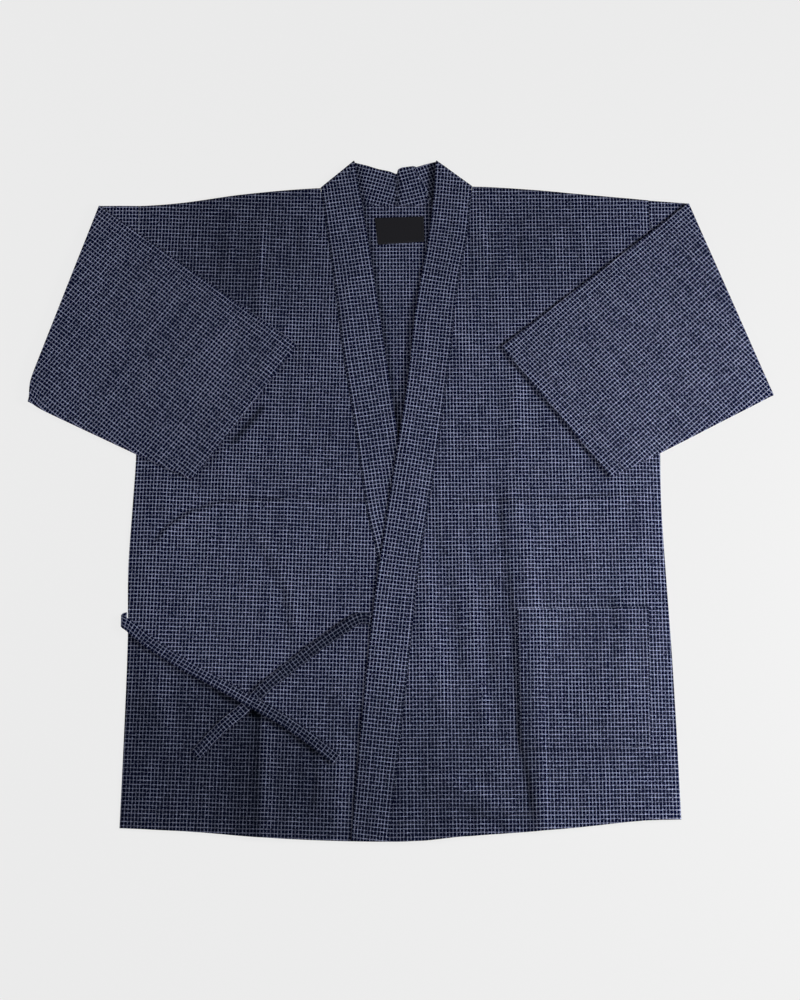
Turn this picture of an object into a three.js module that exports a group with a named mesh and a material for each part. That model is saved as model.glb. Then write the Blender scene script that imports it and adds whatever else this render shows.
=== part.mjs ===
// A samue: a short wrap jacket of checked cotton, laid flat with its front up. The left front lies
// over the right one, and both sleeves are folded forward over the fronts.
// Millimetres. x runs across, from the wearer's right (minus) to the wearer's left (plus), y runs up
// the jacket from the hem to the collar, and z is up from the surface that it lies on.
import * as THREE from 'three';

// ---- Driving dimensions ----

const cloth = 1.2;              // wall of one layer of cloth
const bandWall = 2.4;           // the collar is cloth doubled
const labelWall = 1;
const gap = 0.3;                // between pieces at a seam, and between one layer and the next
const seamGap = 0.45;           // beside a curved seam, where the two edges' facets differ
const layerGap = 0.42;          // between layers whose facets differ
const length = 800;             // hem to neck point
const armpit = 498;             // lower end of the armhole
const rollWidth = 3.5;          // the fronts turn down to the back over this width of their edge
const rollFloor = 0.15;         // and end this far above the surface
const rollStep = 1.3;           // a line of facets inside that edge
const hemShort = 1;             // the back's hem ends inside the fronts'
const tieWall = 1.8;
const tieWidth = 14;
const foldEnds = 45;            // a fold fades out over this length at each end
const neckRise = { low: 735, high: 770, outside: 132, inside: 100 };  // the fronts clear the collar
const overlap = { reach: 10, fade: 14 };  // the left front comes down past the right one's edge
const armholeTurn = { low: 22, high: 4 };  // the side's turned edge ends this far under the armpit

const sleeveFoldRadius = 2.15;  // middle of the flattened sleeve, round its diagonal fold
const sleeveSettle = 40;        // the folded part comes down onto the front over this length
const cuffFlare = 0.7;          // how much each wall lifts from the middle at the cuff
const cuffFlareLength = 35;

// ---- Outlines, each a table of points that a smooth line passes through ----

const rightSide = [
  { y: 0, x: -320 }, { y: 120, x: -318 }, { y: 230, x: -317 }, { y: 320, x: -319 },
  { y: 400, x: -316 }, { y: 460, x: -314 }, { y: 640, x: -317 }, { y: 780, x: -320 },
];
const leftSide = [
  { y: 0, x: 321.5 }, { y: 117, x: 319 }, { y: 220, x: 316 }, { y: 313, x: 312 },
  { y: 400, x: 309 }, { y: 498, x: 310 }, { y: 640, x: 308 }, { y: 785, x: 305 },
];
const hemLine = [
  { x: -320, y: 16 }, { x: -228, y: 11 }, { x: -157, y: 5 }, { x: -60, y: 1 }, { x: 20, y: 1 },
  { x: 71, y: 6 }, { x: 165, y: 13 }, { x: 217, y: 18 }, { x: 274, y: 24 }, { x: 321, y: 26 },
];
const shoulderLine = [
  { x: -369, y: 777 }, { x: -310, y: 777 }, { x: -264, y: 781 }, { x: -190, y: 792 },
  { x: -97, y: 800 }, { x: 88, y: 802 }, { x: 160, y: 798 }, { x: 233, y: 791 },
  { x: 307, y: 784 }, { x: 354, y: 780 },
];
const neckLine = [
  { x: -97, y: 800 }, { x: -60, y: 782 }, { x: -4, y: 779 }, { x: 50, y: 782 }, { x: 88, y: 802 },
];
const collarTop = [
  { x: -97, y: 800 }, { x: -56, y: 835 }, { x: -28, y: 824 }, { x: -12, y: 821 },
  { x: -3, y: 826 }, { x: 17, y: 828 }, { x: 44, y: 836 }, { x: 88, y: 802 },
];

// Edges of the collar's two front runs: its seam to the front, and its free edge.
const rightSeam = [
  { y: 0, x: 10 }, { y: 99, x: 0 }, { y: 202, x: -12 }, { y: 335, x: -27 }, { y: 395, x: -40 },
  { y: 483, x: -52 }, { y: 591, x: -69 }, { y: 657, x: -77 }, { y: 759, x: -91 }, { y: 800, x: -97 },
];
const rightFree = [
  { y: 0, x: 58 }, { y: 99, x: 48 }, { y: 202, x: 36 }, { y: 404, x: 8 }, { y: 499, x: -5 },
  { y: 603, x: -20 }, { y: 701, x: -34 }, { y: 799, x: -50 }, { y: 836, x: -56 },
];
const leftSeam = [
  { y: 0, x: -13 }, { y: 99, x: -2 }, { y: 227, x: 12 }, { y: 330, x: 23 }, { y: 404, x: 35 },
  { y: 499, x: 49 }, { y: 591, x: 61 }, { y: 674, x: 70 }, { y: 740, x: 82 }, { y: 802, x: 88 },
];
const leftFree = [
  { y: 0, x: -56 }, { y: 99, x: -48 }, { y: 266, x: -32 }, { y: 404, x: -13 }, { y: 545, x: 8 },
  { y: 644, x: 19 }, { y: 739, x: 35 }, { y: 789, x: 41 }, { y: 836, x: 44 },
];

// The sleeves, opened out flat: where the armhole, the diagonal fold and the cuff meet the sleeve's
// top edge and its underarm seam.
const sleeves = {
  right: {
    top: [
      { at: 'armhole', x: -320, y: 777 }, { at: 'fold', x: -369, y: 777 }, { at: 'cuff', x: -674, y: 780 },
    ],
    under: [
      { at: 'armhole', x: -314, y: armpit }, { at: 'fold', x: -453, y: 526 },
      { at: 'cuff', x: -678, y: 571 },
    ],
    cornerPull: { x: 7, y: -1, reach: 18 },
  },
  left: {
    top: [
      { at: 'armhole', x: 305, y: 784 }, { at: 'fold', x: 354, y: 780 }, { at: 'cuff', x: 651, y: 795 },
    ],
    under: [
      { at: 'armhole', x: 310, y: armpit }, { at: 'fold', x: 448, y: 533 },
      { at: 'cuff', x: 664, y: 587 },
    ],
    cornerPull: { x: 0, y: 0, reach: 18 },
  },
};

// Large folds that stand up in both fronts: a ridge along each line, its height and half width.
const folds = [
  { name: 'right packing fold, upper', x1: -168, y1: 790, x2: -162, y2: 400, rise: 0.8, spread: 18 },
  { name: 'right packing fold, lower', x1: -161, y1: 330, x2: -157, y2: -40, rise: 2, spread: 20 },
  { name: 'left packing fold, upper', x1: 139, y1: 565, x2: 140, y2: 110, rise: 1.3, spread: 18 },
  { name: 'left packing fold, lower', x1: 164, y1: 250, x2: 167, y2: -40, rise: 1.6, spread: 18 },
  { name: 'half fold', x1: -235, y1: 402, x2: 270, y2: 404, rise: 1.2, spread: 18 },
];

// The ties, from the seam to the free end: the middle of the strip, its height over where it would
// rest on the front, and the plan direction of its width.
const sideTiePath = [
  { x: -319.2, y: 261, over: -2.55, across: 90 },
  { x: -321.4, y: 260.5, over: -2.55, across: 90 },
  { x: -323.4, y: 260, over: -2.55, across: 90 },
  { x: -324.6, y: 259, over: -2.05, across: 90 },
  { x: -325.1, y: 257.5, over: -0.85, across: 90 },
  { x: -324.6, y: 256.5, over: 0.35, across: 88 },
  { x: -323.4, y: 255.5, over: 0.85, across: 84 },
  { x: -319, y: 253, over: 0.95, across: 74 },
  { x: -311, y: 247, over: 0.6, across: 62 },
  { x: -293, y: 232, over: 0.25, across: 54 },
  { x: -254, y: 207, over: 0.2, across: 57 },
  { x: -215, y: 185.5, over: 0.9, across: 60 },
  { x: -190, y: 171.5, over: 2.7, across: 60 },
  { x: -172, y: 161, over: 2.9, across: 60 },
  { x: -154, y: 151, over: 2.7, across: 60 },
  { x: -130, y: 137, over: 0.9, across: 58 },
  { x: -100, y: 116, over: 0.25, across: 55 },
  { x: -72, y: 94, over: 0.15, across: 52 },
];
const frontTiePath = [
  { x: -34.6, y: 259, over: 0.4, across: 84 },
  { x: -40, y: 260, over: 1.1, across: 90 },
  { x: -50, y: 258, over: 1.5, across: 112 },
  { x: -69, y: 246, over: 0.9, across: 122 },
  { x: -93, y: 229, over: 0.3, across: 126 },
  { x: -121, y: 207, over: 0.25, across: 128 },
  { x: -144, y: 188, over: 0.35, across: 130 },
  { x: -160, y: 173, over: 0.35, across: 132 },
  { x: -184, y: 149.5, over: 0.35, across: 132 },
  { x: -205, y: 131.5, over: 0.25, across: 132 },
  { x: -235, y: 99, over: 0.15, across: 131 },
];

const pocketCorners = {
  lowRight: { x: 138, y: 104 }, lowLeft: { x: 288, y: 108 },
  highRight: { x: 137, y: 271 }, highLeft: { x: 291, y: 274 },
};
const labelCorners = {
  lowRight: { x: -27, y: 726 }, lowLeft: { x: 30, y: 730 },
  highRight: { x: -31, y: 761 }, highLeft: { x: 29, y: 763 },
};

// ---- Small maths ----

const mix = (a, b, t) => a + (b - a) * t;

// 0 at from, 1 at to, with soft ends.
function ramp(value, from, to) {
  return THREE.MathUtils.smoothstep((value - from) / (to - from), 0, 1);
}

// The value of one column of a table, on a smooth line through its rows.
function along(table, key, value, column) {
  let next = table.findIndex((row) => row[key] > value);
  if (next < 0) next = table.length - 1;
  next = Math.max(next, 1);
  const a = table[next - 1];
  const b = table[next];
  const before = table[next - 2] ?? a;
  const after = table[next + 1] ?? b;
  const span = b[key] - a[key];
  const slopeA = (b[column] - before[column]) / (b[key] - before[key]);
  const slopeB = (after[column] - a[column]) / (after[key] - a[key]);
  const t = (value - a[key]) / span;
  if (t < 0) return a[column] + slopeA * (value - a[key]);
  if (t > 1) return b[column] + slopeB * (value - b[key]);
  const h = t * t * (3 - 2 * t);
  const bendA = t * (1 - t) * (1 - t) * span * slopeA;
  const bendB = t * t * (t - 1) * span * slopeB;
  return a[column] * (1 - h) + b[column] * h + bendA + bendB;
}

const xOf = (table) => (y) => along(table, 'y', y, 'x');
const yOf = (table) => (x) => along(table, 'x', x, 'y');

// A straight-sided table, for outlines with corners.
function straight(table, x) {
  const next = Math.max(1, table.findIndex((row) => row.x >= x));
  const a = table[next - 1];
  const b = table[next];
  return mix(a.y, b.y, (x - a.x) / (b.x - a.x));
}

// ---- How the layers lie on each other ----

// A ridge along a line, fading at its ends.
function ridge(fold, x, y) {
  const dx = fold.x2 - fold.x1;
  const dy = fold.y2 - fold.y1;
  const run = Math.hypot(dx, dy);
  const forward = ((x - fold.x1) * dx + (y - fold.y1) * dy) / run;
  const sideways = ((x - fold.x1) * dy - (y - fold.y1) * dx) / run;
  const ends = ramp(forward, 0, foldEnds) * ramp(run - forward, 0, foldEnds);
  return fold.rise * ends * Math.exp(-((sideways / fold.spread) ** 2));
}

const foldHeight = (x, y) => folds.reduce((sum, fold) => sum + ridge(fold, x, y), 0);

// Underside of the first layer over the back panel. At the neck it clears the collar's back run.
function frontBed(x, y) {
  const { low, high, outside, inside } = neckRise;
  const neck = ramp(y, low, high) * ramp(Math.abs(x), outside, inside);
  return cloth + gap + (bandWall - cloth) * neck + foldHeight(x, y);
}

// Underside of the left front and its collar run, which pass over the right ones.
function leftBed(x, y) {
  const freeEdge = xOf(rightFree)(y);
  const seam = xOf(rightSeam)(y);
  const { reach, fade } = overlap;
  const overCloth = ramp(x - freeEdge, reach + fade, reach);
  const offBand = Math.max(x - freeEdge, seam - x);
  const overBand = ramp(offBand, reach + fade, reach);
  return frontBed(x, y) + (cloth + layerGap) * overCloth + (bandWall - cloth) * overBand;
}

// The fronts' outer edges turn down beside the back, at the shoulder and below the armhole.
function edgeDrop(x, y, side, bed) {
  const fromTop = along(shoulderLine, 'x', x, 'y') - y;
  const armhole = ramp(y, armpit - armholeTurn.low, armpit - armholeTurn.high);
  const fromSide = Math.abs(side(y)) - Math.abs(x) + rollWidth * armhole;
  const near = Math.max(0, 1 - Math.max(0, Math.min(fromTop, fromSide)) / rollWidth);
  return (bed - rollFloor) * near * near;
}

// ---- Meshes ----

const checkedCotton = { color: 0x39405a, roughness: 0.92, metalness: 0 };
const collarCotton = { color: 0x3d4460, roughness: 0.9, metalness: 0 };
const tieCotton = { color: 0x363d55, roughness: 0.92, metalness: 0 };
const labelWeave = { color: 0x16161e, roughness: 0.75, metalness: 0 };

// A closed mesh from points and triangles, turned so that its faces point outwards.
function solid(name, finish, points, triangles) {
  const a = new THREE.Vector3();
  const b = new THREE.Vector3();
  const c = new THREE.Vector3();
  let volume = 0;
  for (const [i, j, k] of triangles) {
    volume += a.fromArray(points[i]).dot(b.fromArray(points[j]).cross(c.fromArray(points[k])));
  }
  const facing = volume < 0 ? triangles.map(([i, j, k]) => [i, k, j]) : triangles;
  const geometry = new THREE.BufferGeometry();
  geometry.setAttribute('position', new THREE.Float32BufferAttribute(points.flat(), 3));
  geometry.setIndex(facing.flat());
  geometry.computeVertexNormals();
  const mesh = new THREE.Mesh(geometry, new THREE.MeshStandardMaterial(finish));
  mesh.name = name;
  return mesh;
}

const quad = (a, b, c, d) => [[a, b, c], [a, c, d]];

// A wall of cloth over a grid of plan points. bed(x, y) is the height of its underside.
function wall(name, finish, grid, bed, thickness) {
  const rows = grid.length;
  const columns = grid[0].length;
  const points = [];
  for (const lift of [0, thickness]) {
    for (const [x, y] of grid.flat()) points.push([x, y, bed(x, y) + lift]);
  }
  const top = rows * columns;
  const at = (i, j) => i * columns + j;
  const triangles = [];
  for (let i = 0; i + 1 < rows; i += 1) {
    for (let j = 0; j + 1 < columns; j += 1) {
      const [a, b, c, d] = [at(i, j), at(i, j + 1), at(i + 1, j + 1), at(i + 1, j)];
      triangles.push(...quad(a, d, c, b));
      triangles.push(...quad(a + top, b + top, c + top, d + top));
    }
  }
  const rim = [];
  for (let j = 0; j < columns; j += 1) rim.push(at(0, j));
  for (let i = 1; i < rows; i += 1) rim.push(at(i, columns - 1));
  for (let j = columns - 2; j >= 0; j -= 1) rim.push(at(rows - 1, j));
  for (let i = rows - 2; i > 0; i -= 1) rim.push(at(i, 0));
  rim.forEach((a, n) => {
    const b = rim[(n + 1) % rim.length];
    triangles.push(...quad(a, b, b + top, a + top));
  });
  return solid(name, finish, points, triangles);
}

// Plan points of a panel. Its columns follow the lines x(y), each with the number of columns up to
// the next line, and its rows run between two lines y(x) at the given heights up the jacket.
function panelGrid({ lines, low, high, heights }) {
  const columns = [];
  lines.forEach((line, n) => {
    const next = lines[n + 1];
    if (!next) columns.push(line.x);
    for (let k = 0; next && k < line.parts; k += 1) {
      columns.push((y) => mix(line.x(y), next.x(y), k / line.parts));
    }
  });
  return heights.map((height) => columns.map((column) => {
    let y = height;
    for (let pass = 0; pass < 4; pass += 1) {
      const x = column(y);
      y = mix(low(x), high(x), height / length);
    }
    return [column(y), y];
  }));
}

// Plan points of a strip between two edges, each a function from 0 to 1.
function stripGrid(left, right, steps, parts) {
  return steps.map((t) => {
    const [a, b] = [left(t), right(t)];
    return Array.from({ length: parts + 1 }, (_, k) => [
      mix(a[0], b[0], k / parts), mix(a[1], b[1], k / parts)]);
  });
}

const evenly = (from, to, parts) => Array.from({ length: parts + 1 }, (_, k) => mix(from, to, k / parts));

// ---- The body ----

const shoulder = yOf(shoulderLine);
const hem = yOf(hemLine);
const topRoll = [length - 4, length - 2, length - 0.7, length];
const bodyHeights = [
  ...evenly(0, 350, 11), 371, 382, 393, 404, 415, 426, 440, 462, 478, 486, 494, ...evenly(520, 770, 8),
  ...topRoll,
];

function back() {
  const [neckRight, neckLeft] = [neckLine[0].x, neckLine[neckLine.length - 1].x];
  const middleOfNeck = (neckRight + neckLeft) / 2;
  const corner = { start: 68, end: 90 };  // from the middle, where the neckline reaches the fronts' roll
  const away = (x) => Math.abs(x - middleOfNeck);
  const neck = (x) => yOf(neckLine)(x) - gap - rollWidth * ramp(away(x), corner.start, corner.end);
  const inset = (y) => rollWidth * ramp(y, armpit + 12, armpit - armholeTurn.high);
  const grid = panelGrid({
    lines: [
      { x: (y) => xOf(rightSide)(y) + inset(y), parts: 6 },
      { x: () => neckRight, parts: 18 },
      { x: () => neckLeft, parts: 6 },
      { x: (y) => xOf(leftSide)(y) - inset(y) },
    ],
    low: (x) => hem(x) + hemShort,
    high: (x) => (x < neckRight || x > neckLeft ? shoulder(x) - rollWidth : neck(x)),
    heights: [...evenly(0, 460, 6), 478, 494, 502, 510, ...evenly(560, length, 4)],
  });
  return wall('back', checkedCotton, grid, () => 0, cloth);
}

// Closer columns follow each front's packing fold.
const rightFold = -162;
const leftFold = 153;
const foldHalf = 28;

function rightFront() {
  const side = xOf(rightSide);
  const grid = panelGrid({
    lines: [
      { x: side, parts: 1 },
      { x: (y) => side(y) + rollStep, parts: 1 },
      { x: (y) => side(y) + rollWidth, parts: 5 },
      { x: () => rightFold - foldHalf, parts: 4 },
      { x: () => rightFold + foldHalf, parts: 3 },
      { x: (y) => xOf(rightSeam)(y) - seamGap },
    ],
    low: hem,
    high: shoulder,
    heights: bodyHeights,
  });
  const bed = (x, y) => frontBed(x, y) - edgeDrop(x, y, side, frontBed(x, y));
  return wall('right_front', checkedCotton, grid, bed, cloth);
}

function leftFront() {
  const side = xOf(leftSide);
  const seam = xOf(leftSeam);
  const over = (y) => Math.max(seam(y) + 18, xOf(rightFree)(y) + 26);
  const grid = panelGrid({
    lines: [
      { x: (y) => seam(y) + seamGap, parts: 8 },
      { x: over, parts: 2 },
      { x: () => leftFold - foldHalf, parts: 5 },
      { x: () => leftFold + foldHalf, parts: 5 },
      { x: (y) => side(y) - rollWidth, parts: 1 },
      { x: (y) => side(y) - rollStep, parts: 1 },
      { x: side },
    ],
    low: hem,
    high: shoulder,
    heights: bodyHeights,
  });
  const bed = (x, y) => leftBed(x, y) - edgeDrop(x, y, side, leftBed(x, y));
  return wall('left_front', checkedCotton, grid, bed, cloth);
}

// ---- The collar ----

// One front run. Its upper end lies on the slanting fold from the neck point to the collar's peak.
function collarRun(name, seamTable, freeTable, bedUnder) {
  const edge = (table) => {
    const end = table[table.length - 1].y;
    const start = hem(table[0].x);
    return (t) => {
      const y = mix(start, end, t);
      return [xOf(table)(y), y];
    };
  };
  const [seam, free] = [edge(seamTable), edge(freeTable)];
  const steps = [...evenly(0, 0.42, 11), ...evenly(0.44, 0.56, 8), ...evenly(0.59, 0.95, 10),
    0.975, 0.994, 0.9965, 0.9985, 1];
  const grid = stripGrid(seam, free, steps, 5);
  const [a, b] = [seam(1), free(1)];
  const slant = Math.hypot(b[0] - a[0], b[1] - a[1]);
  const bed = (x, y) => {
    const inside = Math.abs((b[0] - a[0]) * (y - a[1]) - (b[1] - a[1]) * (x - a[0])) / slant;
    const near = Math.max(0, 1 - inside / rollWidth);
    return bedUnder(x, y) - (bedUnder(x, y) - rollFloor) * near * near;
  };
  return wall(name, collarCotton, grid, bed, bandWall);
}

// The run across the back neck lies on the surface, between the slanting folds.
function collarBackRun() {
  const ends = { right: -86, left: 78 };
  const inset = 6;                 // from the slanting folds, beside which it tapers
  const full = { middle: -6, half: 40, taper: 12 };
  const tip = 1.5;
  const grid = evenly(ends.right, ends.left, 24).map((x) => {
    const low = yOf(neckLine)(x) + gap;
    const slanting = ramp(Math.abs(x - full.middle), full.half, full.half + full.taper);
    const high = Math.max(straight(collarTop, x) - inset * slanting, low + tip);
    return evenly(low, high, 2).map((y) => [x, y]);
  });
  return wall('collar_back_run', collarCotton, grid, () => 0, bandWall);
}

// ---- The sleeves ----

// Where its sections lie, from the fold to the cuff.
const pastFold = [0.04, 0.09, 0.16, 0.28, 0.42, 0.56, 0.7, 0.82, 0.9, 0.96, 1];

// A flattened tube, open at the armhole and the cuff, turned over along its diagonal fold.
function sleeve(name, cut, side, mirror) {
  const point = (row) => new THREE.Vector2(row.x, row.y);
  const [topArm, topFold, topCuff] = cut.top.map(point);
  const [underArm, underFold, underCuff] = cut.under.map(point);
  const foldRun = underFold.clone().sub(topFold);
  const foldWay = foldRun.clone().normalize();
  const outward = new THREE.Vector2(foldWay.y, -foldWay.x).multiplyScalar(mirror);
  const middle = cloth + gap / 2;
  const bendStart = -(sleeveFoldRadius + middle);
  const bendLength = Math.PI * sleeveFoldRadius;

  // Where a line beside the fold crosses one of the sleeve's edges.
  const beside = (edgeFold, edgeIn, edgeOut, distance) => {
    const way = (distance < 0 ? edgeIn : edgeOut).clone().sub(edgeFold);
    return edgeFold.clone().addScaledVector(way, distance / way.dot(outward));
  };
  const section = (distance) => [
    beside(topFold, topArm, topCuff, distance), beside(underFold, underArm, underCuff, distance)];
  const between = (a, b, t) => [a[0].clone().lerp(b[0], t), a[1].clone().lerp(b[1], t)];

  const cuff = [topCuff, underCuff];
  const bendIn = section(bendStart);
  const bendOut = section(bendStart + bendLength);
  const sections = [
    ...evenly(0, 0.85, 4).map((t) => between([topArm, underArm], bendIn, t)),
    ...evenly(0, 1, 6).map((t) => section(bendStart + bendLength * t)),
    ...pastFold.map((t) => between(bendOut, cuff, t)),
  ];

  // A point of the flat sleeve, at a height over its middle, carried round the fold.
  const carry = (flat, lift) => {
    const fromTop = flat.clone().sub(topFold);
    const run = fromTop.dot(foldWay);
    const past = fromTop.dot(outward) - bendStart;
    const angle = THREE.MathUtils.clamp(past / sleeveFoldRadius, 0, Math.PI);
    const beyond = Math.max(0, past - bendLength);
    const out = Math.min(past, 0) + (sleeveFoldRadius - lift) * Math.sin(angle) - beyond;
    const settle = (2 * sleeveFoldRadius - 2 * middle - layerGap) * ramp(beyond, 0, sleeveSettle);
    const z = middle + sleeveFoldRadius - (sleeveFoldRadius - lift) * Math.cos(angle) - settle;
    const plan = topFold.clone().addScaledVector(foldWay, run).addScaledVector(outward, bendStart + out);
    const reach = plan.distanceTo(underFold) / cut.cornerPull.reach;
    const pull = Math.exp(-(reach ** 2));
    const x = plan.x + cut.cornerPull.x * pull;
    const y = plan.y + cut.cornerPull.y * pull;
    return [x, y, z, beyond];
  };

  // Round one section: the wall's outer and inner points, along the side that faces up when the
  // sleeve is open and back along the other, with the top edge and the underarm seam closed.
  const across = evenly(0.012, 0.988, 8);
  const loop = (ends, outer, flare, atArmhole) => {
    const width = ends[0].distanceTo(ends[1]);
    const margin = outer ? 0 : cloth;
    const half = gap / 2 + flare + (outer ? cloth : 0);
    const place = (v, lift) => {
      const t = mix(margin / width, 1 - margin / width, v);
      const [x, y, z, beyond] = carry(ends[0].clone().lerp(ends[1], t), lift);
      const onBody = ramp(beyond, 0, sleeveSettle);
      return [atArmhole ? side(y) - gap * mirror : x, y, z + onBody * (flare + foldHeight(x, y))];
    };
    return [
      ...across.map((v) => place(v, half)), place(1, half * 0.45), place(1, -half * 0.45),
      ...across.map((v) => place(1 - v, -half)), place(0, -half * 0.45), place(0, half * 0.45),
    ];
  };

  const flareAt = (ends) => {
    const toCuff = (ends[0].distanceTo(topCuff) + ends[1].distanceTo(underCuff)) / 2;
    return cuffFlare * ramp(toCuff, cuffFlareLength, 0);
  };
  const rings = sections.map((ends, i) => [true, false].map(
    (outer) => loop(ends, outer, flareAt(ends), i === 0)));
  const count = rings[0][0].length;
  const points = rings.flat(2);
  const at = (i, skin, k) => (i * 2 + skin) * count + (k % count);
  const last = rings.length - 1;
  const triangles = [];
  for (let k = 0; k < count; k += 1) {
    for (let i = 0; i < last; i += 1) {
      triangles.push(...quad(at(i, 0, k), at(i + 1, 0, k), at(i + 1, 0, k + 1), at(i, 0, k + 1)));
      triangles.push(...quad(at(i, 1, k + 1), at(i + 1, 1, k + 1), at(i + 1, 1, k), at(i, 1, k)));
    }
    triangles.push(...quad(at(0, 0, k), at(0, 0, k + 1), at(0, 1, k + 1), at(0, 1, k)));
    triangles.push(...quad(at(last, 0, k), at(last, 1, k), at(last, 1, k + 1), at(last, 0, k + 1)));
  }
  return solid(name, checkedCotton, points, triangles);
}

// ---- What lies on the panels ----

// Plan points of a four-cornered patch.
function patchGrid(corners, parts) {
  const { lowRight, lowLeft, highRight, highLeft } = corners;
  const left = (t) => [mix(lowRight.x, highRight.x, t), mix(lowRight.y, highRight.y, t)];
  const right = (t) => [mix(lowLeft.x, highLeft.x, t), mix(lowLeft.y, highLeft.y, t)];
  return stripGrid(left, right, evenly(0, 1, parts), parts);
}

function pocket() {
  const bed = (x, y) => leftBed(x, y) + cloth + layerGap;
  return wall('pocket', checkedCotton, patchGrid(pocketCorners, 14), bed, cloth);
}

function neckLabel() {
  return wall('neck_label', labelWeave, patchGrid(labelCorners, 2), () => cloth + gap, labelWall);
}

// A flat strip, with rounded edges, along a path.
function tie(name, path) {
  const half = tieWidth / 2;
  const thick = tieWall / 2;
  const profile = [
    [half, thick * 0.5], [half - thick * 0.6, thick], [-half + thick * 0.6, thick], [-half, thick * 0.5],
    [-half, -thick * 0.5], [-half + thick * 0.6, -thick], [half - thick * 0.6, -thick], [half, -thick * 0.5],
  ];
  const rest = 2 * cloth + 2 * gap + thick;
  const spots = path.map(({ x, y, over }) => new THREE.Vector3(x, y, rest + over + foldHeight(x, y)));
  const points = [];
  path.forEach((row, i) => {
    const before = spots[Math.max(i - 1, 0)];
    const after = spots[Math.min(i + 1, spots.length - 1)];
    const way = after.clone().sub(before).normalize();
    const turn = THREE.MathUtils.degToRad(row.across);
    const width = new THREE.Vector3(Math.cos(turn), Math.sin(turn), 0);
    const up = way.clone().cross(width).normalize();
    for (const [w, h] of profile) {
      points.push(spots[i].clone().addScaledVector(width, w).addScaledVector(up, h).toArray());
    }
  });
  const count = profile.length;
  const last = spots.length - 1;
  const triangles = [];
  for (let i = 0; i < last; i += 1) {
    for (let k = 0; k < count; k += 1) {
      const next = (k + 1) % count;
      const [a, b] = [i * count + k, i * count + next];
      triangles.push(...quad(a, b, b + count, a + count));
    }
  }
  for (let k = 1; k + 1 < count; k += 1) {
    triangles.push([0, k + 1, k]);
    triangles.push([last * count, last * count + k, last * count + k + 1]);
  }
  return solid(name, tieCotton, points, triangles);
}

// ---- The jacket, moved so that the middle of its underside is the origin ----

const jacket = new THREE.Group();
jacket.add(
  back(),
  rightFront(),
  leftFront(),
  sleeve('right_sleeve', sleeves.right, xOf(rightSide), 1),
  sleeve('left_sleeve', sleeves.left, xOf(leftSide), -1),
  collarRun('collar_right_run', rightSeam, rightFree, frontBed),
  collarBackRun(),
  collarRun('collar_left_run', leftSeam, leftFree, leftBed),
  pocket(),
  neckLabel(),
  tie('side_tie', sideTiePath),
  tie('front_tie', frontTiePath),
);
const box = new THREE.Box3().setFromObject(jacket);
const middle = box.getCenter(new THREE.Vector3());
jacket.position.set(-middle.x, -middle.y, -box.min.z);
jacket.updateMatrixWorld(true);

export default jacket;
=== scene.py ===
# A samue jacket of checked cotton, laid flat with its front up and its sleeves folded forward.
# Garment sizes are in millimetres: x runs across, from the wearer's right (minus), y runs up from
# the hem and z up from the surface. clothSheet() and stitchesAlong() turn them to metres in the frame.
import math
import bpy
import numpy as np
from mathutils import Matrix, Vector


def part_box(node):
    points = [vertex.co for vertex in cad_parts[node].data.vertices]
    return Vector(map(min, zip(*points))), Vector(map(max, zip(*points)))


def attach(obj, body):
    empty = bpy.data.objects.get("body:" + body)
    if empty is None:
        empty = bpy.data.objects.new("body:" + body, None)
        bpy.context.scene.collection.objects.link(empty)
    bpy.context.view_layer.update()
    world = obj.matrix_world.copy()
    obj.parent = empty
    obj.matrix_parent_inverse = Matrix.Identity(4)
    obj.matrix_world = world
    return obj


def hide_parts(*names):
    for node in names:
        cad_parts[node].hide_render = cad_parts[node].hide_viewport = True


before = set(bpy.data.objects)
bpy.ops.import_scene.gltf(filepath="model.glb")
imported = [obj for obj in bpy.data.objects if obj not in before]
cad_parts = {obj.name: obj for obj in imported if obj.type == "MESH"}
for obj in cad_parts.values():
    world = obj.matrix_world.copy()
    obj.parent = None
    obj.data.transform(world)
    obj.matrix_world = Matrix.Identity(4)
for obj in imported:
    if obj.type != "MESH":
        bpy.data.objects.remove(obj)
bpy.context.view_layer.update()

# the lie of the garment, shared by every piece
cloth = 0.9        # one layer
band = 1.6         # the collar is doubled
gap = 0.25
seamGap = 0.45
layerGap = 0.25
length = 800
armpit = 498
rollWidth = 3.5    # the fronts turn down over this width of their edges
rollFloor = 0.15
armholeFade = {"front": (-22, -4), "back": (12, -4)}   # where the turned edge ends, beside the armpit
# beside the neck the fronts rise to the top of the band, and the left one comes down past the right
neckRise = {"low": 735, "high": 770, "outside": 132, "inside": 100}
overlapFade = {"near": 10, "far": 24}
neckPoint = {"right": -97, "left": 88}
inward = {"right": 1, "left": -1}   # the way to the garment's middle

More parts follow.
